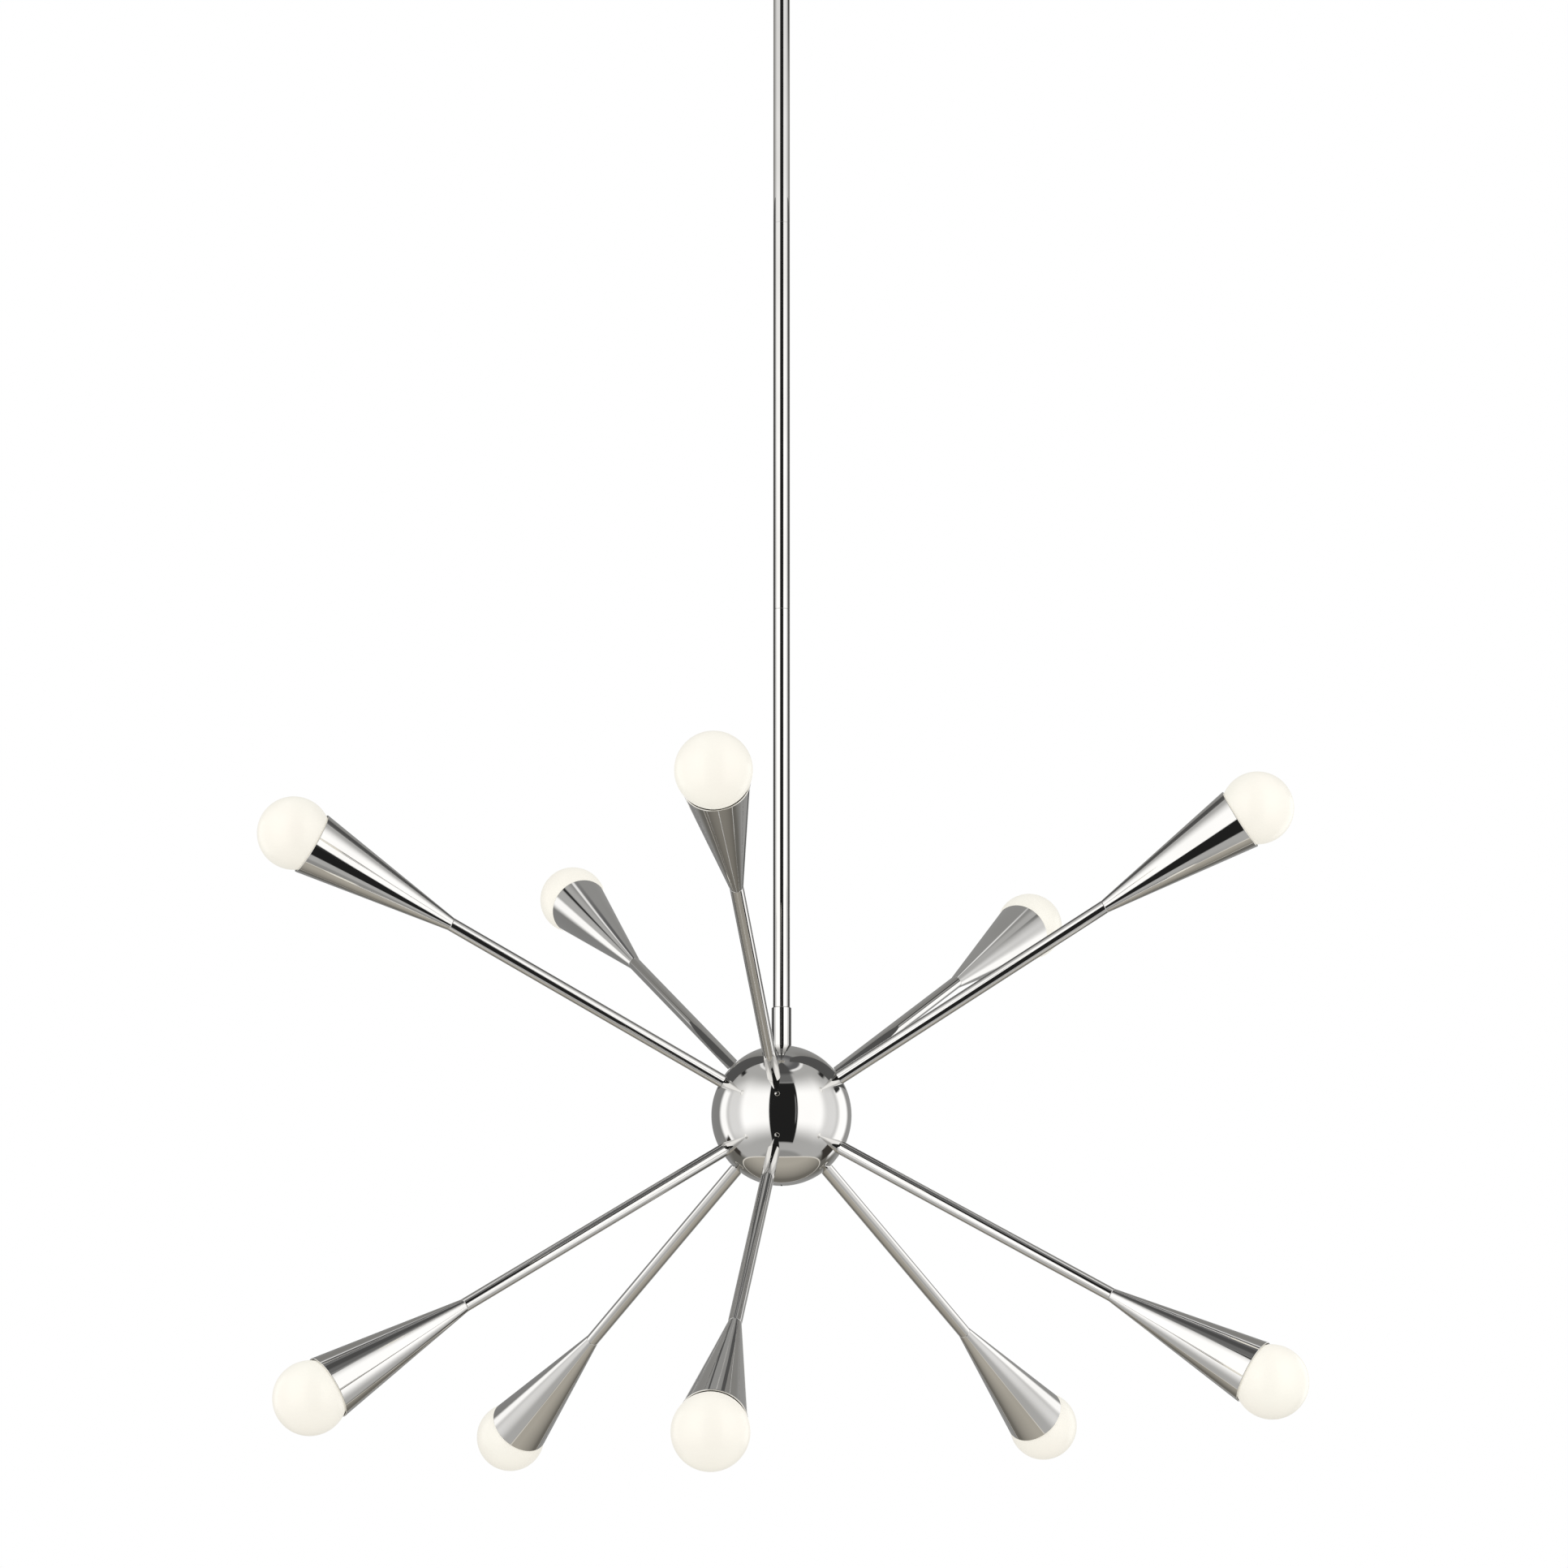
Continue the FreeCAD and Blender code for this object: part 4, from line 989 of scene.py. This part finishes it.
def makeWorld():
    # white where the camera, gloss or clear glass looks past everything, softer as light
    world = bpy.data.worlds.new("whiteSurroundings")
    bpy.context.scene.world = world
    world.use_nodes = True
    tree = world.node_tree
    background = tree.nodes["Background"]
    background.inputs["Color"].default_value = (1, 1, 1, 1)
    path = tree.nodes.new("ShaderNodeLightPath")
    seen = mathNode(tree, "MAXIMUM", path.outputs["Is Camera Ray"], path.outputs["Is Glossy Ray"])
    seen = mathNode(tree, "MAXIMUM", seen, path.outputs["Is Transmission Ray"])
    strength = tree.nodes.new("ShaderNodeMapRange")
    strength.inputs["To Min"].default_value = stage["worldLight"]
    strength.inputs["To Max"].default_value = 1.0
    tree.links.new(seen, strength.inputs["Value"])
    tree.links.new(strength.outputs["Result"], background.inputs["Strength"])


def makeLamps():
    for name, side in (("lampLeft", -1), ("lampRight", 1)):
        data = bpy.data.lights.new(name, "AREA")
        data.shape = "DISK"
        data.size = stage["lampSize"]
        data.energy = stage["lampPower"]
        lamp = bpy.data.objects.new(name, data)
        bpy.context.scene.collection.objects.link(lamp)
        lamp.location = (side * stage["lampSideways"], *stage["lampPlace"])
        aim = Vector((0, 0, ballCentre)) - lamp.location
        lamp.rotation_euler = aim.to_track_quat("-Z", "Y").to_euler()
        lamp.visible_glossy = False
        lamp.visible_camera = False


photoView = {
    "place": (0.0019, -3.608, -1.461), "tilt": 10.5, "lens": 111.65, "sensor": 36,
    "nearest": 0.05, "farthest": 60,
}


def makeCamera():
    data = bpy.data.cameras.new("photoCamera")
    data.sensor_width = photoView["sensor"]
    data.lens = photoView["lens"]
    data.clip_start = photoView["nearest"]
    data.clip_end = photoView["farthest"]
    camera = bpy.data.objects.new("photoCamera", data)
    bpy.context.scene.collection.objects.link(camera)
    camera.location = photoView["place"]
    camera.rotation_euler = (math.radians(90 + photoView["tilt"]), 0, 0)
    bpy.context.scene.camera = camera


makeTent()
makeFlags()
makeFloor()
makeWorld()
makeLamps()
makeCamera()
bpy.context.scene.view_settings.view_transform = "Standard"
print("stage ready")
